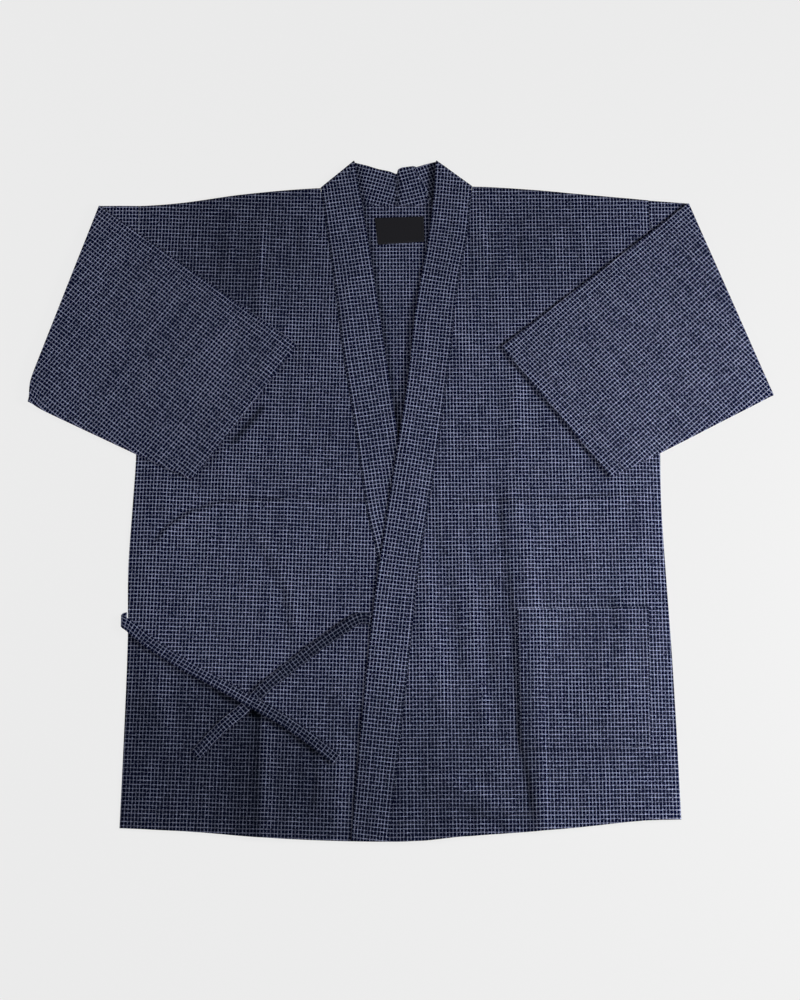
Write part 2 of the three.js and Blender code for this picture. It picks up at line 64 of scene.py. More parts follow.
cut = {
    "rightSide": {
        "y": (0, 120, 230, 320, 400, 460, 640, 780),
        "x": (-320, -318, -317, -319, -316, -314, -317, -320),
    },
    "leftSide": {
        "y": (0, 117, 220, 313, 400, 498, 640, 785),
        "x": (321.5, 319, 316, 312, 309, 310, 308, 305),
    },
    "hem": {
        "x": (-320, -228, -157, -60, 20, 71, 165, 217, 274, 321),
        "y": (16, 11, 5, 1, 1, 6, 13, 18, 24, 26),
    },
    "shoulder": {
        "x": (-369, -310, -264, -190, -97, 88, 160, 233, 307, 354),
        "y": (777, 777, 781, 792, 800, 802, 798, 791, 784, 780),
    },
    "neck": {"x": (-97, -60, -4, 50, 88), "y": (800, 782, 779, 782, 802)},
    "rightSeam": {
        "y": (0, 99, 202, 335, 395, 483, 591, 657, 759, 800),
        "x": (10, 0, -12, -27, -40, -52, -69, -77, -91, -97),
    },
    "rightFree": {
        "y": (0, 99, 202, 404, 499, 603, 701, 799, 836),
        "x": (58, 48, 36, 8, -5, -20, -34, -50, -56),
    },
    "leftSeam": {
        "y": (0, 99, 227, 330, 404, 499, 591, 674, 740, 802),
        "x": (-13, -2, 12, 23, 35, 49, 61, 70, 82, 88),
    },
    "leftFree": {
        "y": (0, 99, 266, 404, 545, 644, 739, 789, 836),
        "x": (-56, -48, -32, -13, 8, 19, 35, 41, 44),
    },
}

# the large folds: from, to, height and half width
folds = [
    {"from": (-168, 790), "to": (-162, 400), "rise": 0.8, "spread": 18},
    {"from": (-161, 330), "to": (-157, -40), "rise": 1.7, "spread": 22},
    {"from": (139, 565), "to": (140, 110), "rise": 1.3, "spread": 18},
    {"from": (164, 250), "to": (167, -40), "rise": 1.6, "spread": 18},
    {"from": (-235, 402), "to": (270, 404), "rise": 1.2, "spread": 18},
]
foldEnds = 45

# finer creases: the rise (minus for a trough), the half width to the left of the line as it runs and
# the half width to the right, and the line's points
creases = [
    (0.45, 9, 4, ((-169, 770), (-168, 707), (-167, 636), (-165, 528))),
    (-0.5, 5, 3, ((-164, 716), (-164, 690), (-163, 664))),
    (0.2, 18, 6, ((-157, 250), (-157, 164), (-156, 83), (-154, -30))),
    (-0.3, 3, 12, ((-164, 225), (-163, 150), (-162, 83), (-160, -30))),
    (0.7, 9, 3, ((-110, 398), (-158, 399), (-211, 397), (-246, 385), (-269, 370), (-285, 348),
                 (-292, 318))),
    (-0.9, 3, 4, ((-112, 404), (-172, 405), (-213, 403), (-249, 391), (-273, 375), (-290, 352),
                  (-298, 322))),
    (-0.5, 4, 7, ((-177, 364), (-158, 331), (-138, 295), (-127, 235), (-123, 202))),
    (0.45, 8, 4, ((-168, 372), (-150, 338), (-130, 298), (-118, 240))),
    (0.5, 18, 22, ((-262, 372), (-236, 366), (-214, 372))),
    (0.55, 4, 9, ((139, 591), (140, 503), (139, 429))),
    (-0.55, 5, 3, ((112, 436), (119, 372), (122, 300), (125, 236))),
    (-0.7, 5, 3, ((126, 350), (128, 300), (129, 259), (131, 203), (134, 126), (144, 71), (154, 19),
                  (158, -20))),
    (0.75, 3, 13, ((144, 384), (154, 326), (161, 266), (163, 203), (163, 120), (164, 60), (166, -30))),
    (-0.35, 3, 4, ((158, 283), (160, 188), (161, 118))),
    (-0.7, 4, 3, ((-132, 405), (-59, 403), (-12, 401))),
    (0.45, 3, 9, ((-132, 399), (-59, 397), (-12, 395))),
    (-0.7, 4, 3, ((30, 402), (118, 404), (172, 405), (237, 409), (310, 415))),
    (0.5, 3, 9, ((30, 396), (118, 398), (172, 399), (214, 402), (310, 409))),
    (0.55, 9, 4, ((38, 79), (86, 60), (137, 34))),
    (-0.4, 5, 5, ((58, 46), (96, 30), (128, 12))),
    (0.5, 6, 3, ((92, 785), (98, 753), (106, 709))),
    (-0.3, 4, 4, ((64, 766), (59, 733))),
    (-0.35, 3, 4, ((84, 776), (88, 720), (83, 664), (79, 622))),
    (-0.4, 3, 5, ((104, 770), (112, 712), (110, 650), (116, 604))),
    (0.35, 5, 3, ((126, 764), (131, 716), (130, 668))),
    (-0.35, 4, 3, ((150, 772), (146, 728), (151, 688))),
    (0.5, 7, 4, ((127, 429), (138, 386), (153, 343))),
    (0.35, 9, 6, ((48, 642), (84, 598), (120, 553))),
    (0.4, 8, 5, ((84, 528), (120, 506), (167, 488))),
    (0.35, 8, 6, ((-120, 640), (-146, 600), (-150, 566))),
    (-0.5, 4, 5, ((-98, 556), (-112, 520), (-102, 486), (-108, 452))),
    (-0.4, 3, 4, ((-84, 496), (-92, 470), (-84, 440))),
    (0.4, 9, 5, ((-214, 470), (-206, 440), (-210, 412))),
    (0.4, 10, 6, ((-240, 330), (-246, 296), (-238, 262))),
    (0.35, 12, 8, ((-290, 196), (-270, 150), (-262, 96))),
    (-0.45, 4, 6, ((-106, 122), (-96, 78), (-100, 26))),
    (0.35, 7, 4, ((-74, 106), (-66, 58), (-70, 10))),
    (-0.5, 4, 6, ((34, 404), (48, 348), (62, 286), (70, 214), (78, 160))),
    (0.5, 7, 4, ((54, 392), (74, 338), (86, 276), (90, 214), (98, 150), (114, 96))),
    (-0.4, 4, 5, ((78, 360), (96, 306), (104, 240), (106, 168))),
    (0.4, 6, 5, ((24, 340), (38, 280), (48, 214), (52, 150))),
    (0.35, 9, 9, ((210, 380), (224, 340), (226, 296))),
    (-0.45, 4, 4, ((244, 300), (250, 262), (247, 214), (250, 168))),
    (0.35, 6, 6, ((262, 246), (270, 196), (262, 140))),
    (0.35, 8, 5, ((180, 290), (176, 240), (184, 180), (178, 130))),
    (0.35, 8, 6, ((196, 84), (240, 66), (300, 74))),
    (0.35, 8, 6, ((-60, 366), (-84, 330), (-90, 280))),
    (-0.35, 6, 6, ((-96, 176), (-66, 150), (-52, 110))),
    (0.3, 5, 4, ((-56, 690), (-62, 640), (-58, 590))),
    (-0.35, 4, 5, ((-128, 770), (-124, 724), (-130, 684))),
    (0.3, 7, 5, ((-210, 764), (-204, 724), (-208, 690))),
]
# a crease fades over a share of its length at its ends, and its two widths meet softly in its line
creaseEase = {"ends": 0.22, "crossing": 200, "tiny": 0.000001}
# the looseness of the fronts: air below, creases, and random hills and ripples of a size in x and y
ease = {
    "air": 2.0, "creases": 2.9, "least": 0.12, "edge": 26,
    "hills": 1.1, "hillSize": (38, 110), "hillSeed": 5,
    "ripples": 0.55, "rippleSize": (11, 62), "rippleSeed": 8,
}
hillLattice = {"cells": 64, "right": 32.37, "up": 20.61}   # cells of random heights, and where they lie


def mix(a, b, t):
    return a + (b - a) * t


def ramp(value, start, end):  # 0 at start, 1 at end, with soft ends
    t = np.clip((value - start) / (end - start), 0, 1)
    return t * t * (3 - 2 * t)


def along(table, key, at, column):  # a smooth line through a table's rows
    keys = np.array(table[key], float)
    values = np.array(table[column], float)
    at = np.asarray(at, float)
    b = np.clip(np.searchsorted(keys, at, side="right"), 1, len(keys) - 1)
    a = b - 1
    before = np.maximum(a - 1, 0)
    after = np.minimum(b + 1, len(keys) - 1)
    span = keys[b] - keys[a]
    slopeA = (values[b] - values[before]) / (keys[b] - keys[before])
    slopeB = (values[after] - values[a]) / (keys[after] - keys[a])
    t = (at - keys[a]) / span
    inside = np.clip(t, 0, 1)
    bend = inside * (1 - inside) * span * ((1 - inside) * slopeA - inside * slopeB)
    beyond = (t - inside) * span
    level = mix(values[a], values[b], inside * inside * (3 - 2 * inside))
    return level + bend + np.where(beyond < 0, slopeA, slopeB) * beyond


def xAt(name, y):
    return along(cut[name], "y", y, "x")


def yAt(name, x):
    return along(cut[name], "x", x, "y")


def besideLine(line, x, y):  # distance to a line of points, share of its length, and how far aside
    points = np.array(line, float)
    steps = np.diff(points, axis=0)
    runs = np.hypot(steps[:, 0], steps[:, 1])
    away = np.full(np.shape(x), np.inf)
    share = np.zeros(np.shape(x))
    aside = np.zeros(np.shape(x))
    before = 0
    for (ax, ay), (dx, dy), run in zip(points, steps, runs):
        t = np.clip(((x - ax) * dx + (y - ay) * dy) / run**2, 0, 1)
        distance = np.hypot(x - ax - dx * t, y - ay - dy * t)
        near = distance < away
        away = np.where(near, distance, away)
        share = np.where(near, (before + t * run) / runs.sum(), share)
        aside = np.where(near, dx * (y - ay) - dy * (x - ax), aside)
        before += run
    return away, share, aside


def creaseField(lines, x, y):
    height = np.zeros(np.shape(x))
    faded, crossing = creaseEase["ends"], creaseEase["crossing"]
    for rise, left, right, line in lines:
        away, share, aside = besideLine(line, x, y)
        width = mix(right, left, ramp(aside / (away + creaseEase["tiny"]), -crossing, crossing))
        ends = ramp(share, 0, faded) * ramp(1 - share, 0, faded)
        height += rise * ends * np.exp(-((away / width) ** 2))
    return height


def hills(x, y, size, seed):  # soft random hills about size apart, from -1 to 1
    cells = hillLattice["cells"]
    levels = np.random.default_rng(seed).uniform(-1, 1, (cells, cells))
    u = x / size[0] + hillLattice["right"]
    v = y / size[1] + hillLattice["up"]
    i = np.floor(u).astype(int)
    j = np.floor(v).astype(int)
    across = ramp(u - i, 0, 1)
    low, high = (
        mix(levels[row % cells, i % cells], levels[row % cells, (i + 1) % cells], across)
        for row in (j, j + 1))
    return mix(low, high, ramp(v - j, 0, 1))


def ripples(x, y):
    return hills(x, y, ease["rippleSize"], ease["rippleSeed"])


def foldHeight(x, y):
    height = np.zeros(np.shape(x))
    for fold in folds:
        (ax, ay), (bx, by) = fold["from"], fold["to"]
        run = math.hypot(bx - ax, by - ay)
        forward = ((x - ax) * (bx - ax) + (y - ay) * (by - ay)) / run
        sideways = ((x - ax) * (by - ay) - (y - ay) * (bx - ax)) / run
        ends = ramp(forward, 0, foldEnds) * ramp(run - forward, 0, foldEnds)
        height += fold["rise"] * ends * np.exp(-((sideways / fold["spread"]) ** 2))
    return height


def lift(x, y):  # air under the fronts, and the creases in them
    x, y = np.broadcast_arrays(np.asarray(x, float), np.asarray(y, float))
    rise = ease["air"] + ease["creases"] * creaseField(creases, x, y)
    rise = rise + ease["hills"] * hills(x, y, ease["hillSize"], ease["hillSeed"])
    rise = rise + ease["ripples"] * ripples(x, y)
    fromSide = np.minimum(x - xAt("rightSide", y), xAt("leftSide", y) - x)
    return np.maximum(rise, ease["least"]) * ramp(fromSide, 0, ease["edge"])


def frontBed(x, y):
    neck = ramp(y, neckRise["low"], neckRise["high"])
    neck = neck * ramp(np.abs(x), neckRise["outside"], neckRise["inside"])
    return cloth + gap + (band - cloth) * neck + foldHeight(x, y) + lift(x, y)


def leftBed(x, y):  # the left front and its collar pass over the right ones
    freeEdge = xAt("rightFree", y)
    seam = xAt("rightSeam", y)
    near, far = overlapFade["near"], overlapFade["far"]
    overCloth = ramp(x - freeEdge, far, near)
    overBand = ramp(np.maximum(x - freeEdge, seam - x), far, near)
    return frontBed(x, y) + (cloth + layerGap) * overCloth + (band - cloth) * overBand


bedOf = {"right": frontBed, "left": leftBed}


def edgeDrop(x, y, sideName, bed):  # the fronts' outer edges turn down beside the back
    start, end = armholeFade["front"]
    fromTop = yAt("shoulder", x) - y
    armhole = ramp(y, armpit + start, armpit + end)
    fromSide = np.abs(xAt(sideName + "Side", y)) - np.abs(x) + rollWidth * armhole
    near = np.clip(1 - np.clip(np.minimum(fromTop, fromSide), 0, None) / rollWidth, 0, 1)
    return (bed - rollFloor) * near * near


# the low corner of the pocket's box says where the garment lies in the frame
pocket = {
    "low": ((138, 104), (288, 108)), "high": ((137, 271), (291, 274)), "columns": 46, "rows": 50,
    "seam": 9, "mouth": 20, "soft": 1.5, "rise": 0.15, "under": 0.28, "wall": 0.7, "grain": (1.3, 1.1),
    "flat": (0.153, 0.167),
}
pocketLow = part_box("pocket")[0] * 1000
shift = np.array([pocketLow.x - pocket["high"][0][0], pocketLow.y - pocket["low"][0][1], 0])

# lens and sensor in mm, tilt in degrees from straight above, aim in mm from the hem, the rest in m
shot = {"lens": 82.8, "sensor": 36, "tilt": 15, "aim": 404, "distance": 2.7255, "reach": 20}
tilt = math.radians(shot["tilt"])
aimY = (shot["aim"] + shift[1]) / 1000
bpy.ops.object.camera_add(
    location=(shift[0] / 1000, aimY - shot["distance"] * math.sin(tilt), shot["distance"] * math.cos(tilt)),
    rotation=(tilt, 0, 0),
)
camera = bpy.context.object
camera.name = "camera"
camera.data.lens = shot["lens"]
camera.data.sensor_width = shot["sensor"]
camera.data.clip_end = shot["reach"]
bpy.context.scene.camera = camera
print("camera placed")


class Wire:
    # a socket in a material, on which Python's operators add Math nodes
    def __init__(self, tree, socket=None):
        self.tree = tree
        self.socket = socket

    def node(self, kind, settings, sockets, out=0):
        made = self.tree.nodes.new("ShaderNode" + kind)
        for name, value in settings.items():
            setattr(made, name, value)
        for name, value in sockets.items():
            if isinstance(value, Wire):
                self.tree.links.new(value.socket, made.inputs[name])
            else:
                made.inputs[name].default_value = value
        return Wire(self.tree, made.outputs[out])

    def math(self, operation, first, second=0.0):
        return self.node("Math", {"operation": operation}, {0: first, 1: second})

    def output(self, out):  # another output of the same node
        return Wire(self.tree, self.socket.node.outputs[out])

    def noise(self, place, scale, detail, roughness=0.5, dimensions="3D", out=0):
        return self.node("TexNoise", {"noise_dimensions": dimensions}, {
            "Vector": place, "Scale": scale, "Detail": detail, "Roughness": roughness}, out)

    def blend(self, factor, first, second):  # colours, which are sockets 6, 7 and 2 of the node
        return self.node("Mix", {"data_type": "RGBA"}, {0: factor, 6: first, 7: second}, 2)

    def bump(self, height, strength, distance):
        return self.node("Bump", {}, {"Strength": strength, "Distance": distance, "Height": height})

    def __add__(self, other):
        return self.math("ADD", self, other)

    def __sub__(self, other):
        return self.math("SUBTRACT", self, other)

    def __rsub__(self, other):
        return self.math("SUBTRACT", other, self)

    def __mul__(self, other):
        return self.math("MULTIPLY", self, other)

    def __mod__(self, other):
        return self.math("FLOORED_MODULO", self, other)

    def __lt__(self, other):
        return self.math("LESS_THAN", self, other)

    def floor(self):
        return self.math("FLOOR", self)

    __radd__ = __add__
    __rmul__ = __mul__


def newFinish(name, constants):
    material = bpy.data.materials.new(name)
    material.use_nodes = True
    shader = material.node_tree.nodes["Principled BSDF"]
    for socket, value in constants.items():
        shader.inputs[socket].default_value = value
    return material, Wire(material.node_tree), shader


def feed(wires, shader, colour, roughness, normal):
    for name, wire in (("Base Color", colour), ("Roughness", roughness), ("Normal", normal)):
        wires.tree.links.new(wire.socket, shader.inputs[name])


def choose(mask, first, second):  # the first where mask is 1 and the second where it is 0
    return mask * first + (1 - mask) * second


def opaque(colour, strength=1):
    return (*(part * strength for part in colour), 1)


# lengths in metres of cloth: the repeat of the check, how far its threads wander, slubs and flecks
weave = {
    "periodX": 0.0040, "periodY": 0.00475, "threads": 8, "paleThreads": 2, "navyPlace": 0.62,
    # the second navy is the ground at full painted shade
    "navy": (0.0008, 0.0024, 0.0210), "navyPaintedShade": (0.0004, 0.0016, 0.004), "pale": (0.545, 0.590, 0.850),
    "wander": 0.2, "wanderSize": 0.06, "wear": 0.25, "wearScale": 9.0,
    "warp": {"slub": 0.11, "seed": 3.1}, "weft": {"slub": 0.022, "seed": 47.3}, "slubWeight": 1.4,
    "fleck": 0.0028, "fleckWeight": 2.4, "threadStep": 0.731, "level": 0.62, "least": 0.02,
    "roughness": 0.76, "wornRoughness": 0.12, "crown": 3, "paleRise": 0.3, "bump": (0.35, 0.0002),
    "gloss": {"Specular IOR Level": 0.03, "Sheen Weight": 0.015, "Sheen Roughness": 0.5},
}


def checkedWeave(name, paleness=1.0):
    # plain weave: navy threads with a few pale slubby ones in each repeat, both ways
    material, wires, shader = newFinish(name, weave["gloss"])
    grain = wires.node("UVMap", {"uv_map": "cloth"}, {})
    across = wires.node("SeparateXYZ", {}, {0: grain})
    up = across.output(1)
    drift = wires.noise(grain, 1 / weave["wanderSize"], detail=2.0, roughness=0.6, out=1)
    driftX = wires.node("SeparateColor", {}, {0: drift})
    driftY = driftX.output(1)
    threadX = (across * (1 / weave["periodX"]) + (driftX - 0.5) * weave["wander"]) * weave["threads"]
    threadY = (up * (1 / weave["periodY"]) + (driftY - 0.5) * weave["wander"]) * weave["threads"]
    warp = threadX.floor()
    weft = threadY.floor()

    def paleOnes(thread, run, strand):
        # each pale thread is thick and thin along its length, in its own places
        thickness = weave["level"]
        for size, weight in ((strand["slub"], weave["slubWeight"]), (weave["fleck"], weave["fleckWeight"])):
            place = wires.node("CombineXYZ", {}, {
                0: thread * weave["threadStep"] + strand["seed"], 1: run * (1 / size)})
            thickness = (wires.noise(place, 1.0, detail=1.0, dimensions="2D") - 0.5) * weight + thickness
        isPale = thread % weave["threads"] < weave["paleThreads"] - 0.5
        return isPale * wires.math("MAXIMUM", thickness, weave["least"])

    over = (warp + weft) % 2 < 0.5
    pale = choose(over, paleOnes(warp, up, weave["warp"]), paleOnes(weft, across, weave["weft"]))
    worn = (wires.noise(grain, weave["wearScale"], detail=3.0, roughness=0.55) - 0.5) * weave["wear"] + 1
    # an attribute of painted shade darkens the navy ground and the pale threads
    paintedShade = wires.node("Attribute", {"attribute_name": "paintedShade"}, {}, 2)
    ground = wires.blend(paintedShade, opaque(weave["navy"]), opaque(weave["navyPaintedShade"]))
    colour = wires.blend(pale * (worn * (1 - paintedShade)), ground, opaque(weave["pale"], paleness))
    fracX = threadX - warp
    fracY = threadY - weft
    crown = choose(over, fracX * (1 - fracX), fracY * (1 - fracY))
    bump = wires.bump(crown * weave["crown"] + pale * weave["paleRise"], *weave["bump"])
    feed(wires, shader, colour, worn * weave["wornRoughness"] + weave["roughness"], bump)
    return material


satin = {
    "dark": (0.007, 0.007, 0.009), "light": (0.024, 0.024, 0.029), "ribs": 0.35, "flecks": 0.65,
    "ribScale": 420.0, "fleckScale": 900.0, "roughness": 0.55, "fleckRoughness": 0.2, "bump": (0.3, 0.00015),
    "gloss": {"Specular IOR Level": 0.15, "Sheen Weight": 0.03, "Sheen Roughness": 0.4},
}


def labelWeave(name):
    # a bare woven label: fine ribs of dark satin
    material, wires, shader = newFinish(name, satin["gloss"])
    grain = wires.node("UVMap", {"uv_map": "cloth"}, {})
    ribs = wires.node("TexWave", {"bands_direction": "Y"}, {
        "Vector": grain, "Scale": satin["ribScale"], "Distortion": 1.2, "Detail": 2.0, "Detail Scale": 4.0})
    fleck = wires.noise(grain, satin["fleckScale"], detail=2.0)
    relief = ribs * satin["ribs"] + fleck * satin["flecks"]
    colour = wires.blend(relief, opaque(satin["dark"]), opaque(satin["light"]))
    roughness = fleck * satin["fleckRoughness"] + satin["roughness"]
    feed(wires, shader, colour, roughness, wires.bump(relief, *satin["bump"]))
    return material


twisted = {
    "colour": (0.012, 0.015, 0.03), "dark": 0.6, "bright": 1.5, "twistScale": 900.0,
    "roughness": 0.6, "twistRoughness": 0.15, "bump": (0.4, 0.0001),
    "gloss": {"Specular IOR Level": 0.25, "Sheen Weight": 0.2, "Sheen Roughness": 0.4},
}


def sewingThread(name):
    # twisted thread: a fine spiral in its colour and relief
    material, wires, shader = newFinish(name, twisted["gloss"])
    place = wires.node("TexCoord", {}, {}, "Object")
    twist = wires.node("TexWave", {"bands_direction": "DIAGONAL"}, {
        "Vector": place, "Scale": twisted["twistScale"], "Distortion": 2.0, "Detail": 1.0})
    dark, bright = (opaque(twisted["colour"], twisted[part]) for part in ("dark", "bright"))
    roughness = twist * twisted["twistRoughness"] + twisted["roughness"]
    feed(wires, shader, wires.blend(twist, dark, bright), roughness, wires.bump(twist, *twisted["bump"]))
    return material


finishes = {
    "checked_cotton": checkedWeave("checked cotton"),
    "collar_cotton": checkedWeave("collar cotton", 1.05),
    "tie_cotton": checkedWeave("tie cotton", 0.9),
    "label_weave": labelWeave("label weave"),
}
navyThread = sewingThread("navy thread")
print("finishes made")


def applied(piece, kind, settings):
    modifier = piece.modifiers.new(kind.lower(), kind)
    for name, value in settings.items():
        setattr(modifier, name, value)
    bpy.context.view_layer.objects.active = piece
    bpy.ops.object.modifier_apply(modifier=modifier.name)


def navyEdges(mesh, first):  # the cut edges, the last faces, show the navy between two pale lines
    def navyAt(value, period):
        return (math.floor(value / period) + weave["navyPlace"]) * period

    uv = mesh.uv_layers["cloth"].data
    for face in mesh.polygons[first:]:
        for loop in face.loop_indices:
            u, v = uv[loop].uv
            uv[loop].uv = (navyAt(u, weave["periodX"]), navyAt(v, weave["periodY"]))


wallFinish = {"merge": 0.000001, "segments": 2, "bevelAngle": 72, "smoothAngle": 50}


def clothSheet(name, place, grain, wall, slot, facesUp=True, rounded=0.35, tube=False, outward=True):
    # a grid primitive whose points are taken to the garment's lie, and then given the cloth's wall,
    # in place of the solid of its name
    x, y, z = place
    rows, columns = x.shape
    bpy.ops.object.select_all(action="DESELECT")
    bpy.ops.mesh.primitive_grid_add(x_subdivisions=columns - 1, y_subdivisions=rows - 1, size=1)
    sheet = bpy.context.object
    sheet.name = sheet.data.name = name + "_cloth"
    mesh = sheet.data
    flat = np.empty(len(mesh.vertices) * 3)
    mesh.vertices.foreach_get("co", flat)
    column = np.rint((flat[0::3] + 0.5) * (columns - 1)).astype(int)
    row = np.rint((flat[1::3] + 0.5) * (rows - 1)).astype(int)
    points = np.stack([x[row, column], y[row, column], z[row, column]], 1) + shift
    mesh.vertices.foreach_set("co", (points / 1000).ravel())
    loopPoints = np.empty(len(mesh.loops), int)
    mesh.loops.foreach_get("vertex_index", loopPoints)
    uv = np.stack([grain[0][row, column], grain[1][row, column]], 1)[loopPoints] / 1000
    mesh.uv_layers[0].name = "cloth"
    mesh.uv_layers[0].data.foreach_set("uv", uv.ravel())
    mesh.update()
    bpy.ops.object.mode_set(mode="EDIT")
    bpy.ops.mesh.select_all(action="SELECT")
    if tube:
        bpy.ops.mesh.remove_doubles(threshold=wallFinish["merge"])
    if not facesUp:
        bpy.ops.mesh.flip_normals()
    if wall == 0:  # a closed strip, whose two open ends are filled
        bpy.ops.mesh.select_all(action="DESELECT")
        bpy.ops.mesh.select_mode(type="EDGE")
        bpy.ops.mesh.select_non_manifold(use_wire=False, use_multi_face=False, use_non_contiguous=False,
                                         use_verts=False)
        bpy.ops.mesh.fill_holes(sides=0)
    bpy.ops.object.mode_set(mode="OBJECT")
    sheet.data.materials.append(finishes[slot])
    if wall:
        faces = len(mesh.polygons)
        applied(sheet, "SOLIDIFY", {
            "thickness": wall / 1000, "offset": 1 if outward else -1, "use_even_offset": True})
        navyEdges(sheet.data, 2 * faces)   # they come after the faces of both walls
        applied(sheet, "BEVEL", {
            "width": rounded / 1000, "segments": wallFinish["segments"], "limit_method": "ANGLE",
            "angle_limit": math.radians(wallFinish["bevelAngle"])})
    bpy.ops.object.shade_smooth_by_angle(angle=math.radians(wallFinish["smoothAngle"]))
    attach(sheet, "root")
    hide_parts(name)
    print(name, len(sheet.data.polygons), "faces")
    return sheet


shadeFacing = (-0.3, 0)   # the upward part of a normal at which the painted shade starts and is full


def shadeSheet(mesh, depth):  # painted shade on the cloth where it looks up, by how much at each place
    points = np.empty(len(mesh.vertices) * 3)
    mesh.vertices.foreach_get("co", points)
    x, y = (points.reshape(-1, 3) * 1000 - shift).T[:2]
    mesh.vertices.foreach_get("normal", points)
    paintedShade = mesh.attributes.new("paintedShade", "FLOAT", "POINT")
    paintedShade.data.foreach_set("value", depth(x, y) * ramp(points[2::3], *shadeFacing))


def turned(x, y, degrees):  # the grain's own axes, turned from the garment's
    angle = np.radians(degrees)
    return x * np.cos(angle) + y * np.sin(angle), y * np.cos(angle) - x * np.sin(angle)


planRounds = 5   # rows and columns lean on each other, and settle in a few rounds


def panelPlan(lines, low, high, heights):
    # columns run between the lines x(y), each with its number of parts, and rows between low and high
    shares = []
    for n, (line, parts) in enumerate(lines):
        if n + 1 == len(lines):
            shares.append((n, n, 0))
        else:
            shares += [(n, n + 1, k / parts) for k in range(parts)]
    y = np.repeat(heights[:, None], len(shares), 1)
    for _ in range(planRounds):
        at = [line(y) for line, parts in lines]
        x = np.stack([mix(at[a][:, c], at[b][:, c], t) for c, (a, b, t) in enumerate(shares)], 1)
        y = mix(low(x), high(x), heights[:, None] / length)
    return x, y


def evenly(start, end, parts):
    return np.linspace(start, end, parts + 1)


def side(sideName, inset):
    return lambda y: xAt(sideName + "Side", y) + inward[sideName] * inset


def upright(x):
    return lambda y: np.full(np.shape(y), float(x))


edgeSteps = (0, 0.35, 0.9, 1.7, 2.6, 3.5)   # columns in the turned edge, inward from its side
# rows of points up the fronts, closer where the cloth is folded across and near the shoulder
bodyRows = np.concatenate([
    [0, 1.5], evenly(5, 375, 116), evenly(378, 430, 30), evenly(433, 780, 108), evenly(783, 796, 5),
    [797, 798, 798.8, 799.4, 799.8, 800],
])
hemSeam = {"depth": 22, "rise": 0.12, "soft": 1.5}


def hemStep(x, y):  # the hem is turned up inside
    depth, soft = hemSeam["depth"], hemSeam["soft"]
    return hemSeam["rise"] * ramp(y - yAt("hem", x), depth + soft, depth - soft)


def besideBand(sideName, x, y, reach):  # from 0 to 1 towards the free edge of a collar run, for the painted shadow beside it
    return ramp((x - xAt(sideName + "Free", y)) * inward[sideName], *reach)


# parts are the columns between the lines across a panel, and each reach of painted shadow starts and is full
backPanel = {
    "flat": (0.640, 0.800), "area": 0.484, "parts": (34, 40, 34), "grain": 0.4,
    "rows": np.concatenate([evenly(0, 380, 52), evenly(385, 800, 96)]),
    "hemShort": 1, "relief": 0.35, "corner": (68, 90),
    "shadeRight": 0.6, "rightReach": (10, 0), "shadeLeft": 0.22, "leftReach": (11, 0), "leftUp": (690, 760),
}


def backRelief(x, y):  # the back lies flatter than the fronts over it
    return backPanel["relief"] * np.clip(lift(x, y), 0, 1)


def backSheet():
    right, left = neckPoint["right"], neckPoint["left"]
    start, end = armholeFade["back"]

    def edge(sideName):
        return lambda y: xAt(sideName + "Side", y) + inward[sideName] * rollWidth * ramp(
            y, armpit + start, armpit + end)

    def top(x):
        corner = ramp(np.abs(x - (right + left) / 2), *backPanel["corner"])
        neck = yAt("neck", x) - gap - rollWidth * corner
        return np.where((x < right) | (x > left), yAt("shoulder", x) - rollWidth, neck)

    # painted shadow on the back beside the collar runs' free edges
    def depth(x, y):
        leftBand = besideBand("left", x, y, backPanel["leftReach"]) * ramp(y, *backPanel["leftUp"])
        rightBand = besideBand("right", x, y, backPanel["rightReach"])
        return backPanel["shadeRight"] * rightBand + backPanel["shadeLeft"] * leftBand

    lines = zip((edge("right"), upright(right), upright(left), edge("left")), (*backPanel["parts"], 0))
    x, y = panelPlan(list(lines), lambda x: yAt("hem", x) + backPanel["hemShort"], top, backPanel["rows"])
    grain = turned(x, y, backPanel["grain"])
    sheet = clothSheet("back", (x, y, backRelief(x, y)), grain, cloth, "checked_cotton")
    shadeSheet(sheet.data, depth)


frontPanels = {
    "right": {"flat": (0.330, 0.800), "area": 0.216, "rests": ["back"], "fold": -160, "grain": -1.6,
              "parts": (40, 34, 34, 0)},
    "left": {"flat": (0.335, 0.800), "area": 0.215, "rests": ["back", "right_front"], "fold": 142,
             "grain": 0.5, "parts": (24, 20, 34, 40)},
    "foldHalf": 26, "overSeam": 18, "overFree": 26,
}
# painted shade where light hardly reaches, and painted highlight on crease ridges: how deep it is and where
# it starts and is full
paintedShading = {
    "crease": 0.5, "creaseMost": 0.2, "ripple": 0.07,
    "below": {"depth": 0.28, "under": (0, 12), "across": (-60, -150)},
    "outside": {"depth": 0.19, "across": (-158, -163), "up": (210, 150)},
    "tieEdge": {"depth": 0.35, "start": (5, 9), "end": (20, 9), "across": (-74, -84)},
    "cuff": {"depth": 0.7, "away": (8, 0), "ends": (0, 0.15),
             "line": ((-160, 524), (-178, 500), (-204, 468))},
    "spots": [
        {"at": (-100, 50), "reach": (90, 120), "depth": 0.36},
        {"at": (60, 50), "reach": (110, 130), "depth": 0.4},
        {"at": (-200, 720), "reach": (95, 120), "depth": 0.4},
        {"at": (-210, 330), "reach": (90, 110), "depth": -0.08},
        {"at": (240, 130), "reach": (110, 160), "depth": 0.14},
        {"at": (122, 250), "reach": (12, 130), "depth": 0.12},
        {"at": (150, 130), "reach": (9, 190), "depth": 0.22},
        {"at": (170, 730), "reach": (110, 90), "depth": 0.16},
    ],
}


def frontLie(sideName, x, y):
    bed = bedOf[sideName](x, y) + hemStep(x, y)
    return bed - edgeDrop(x, y, sideName, bed)


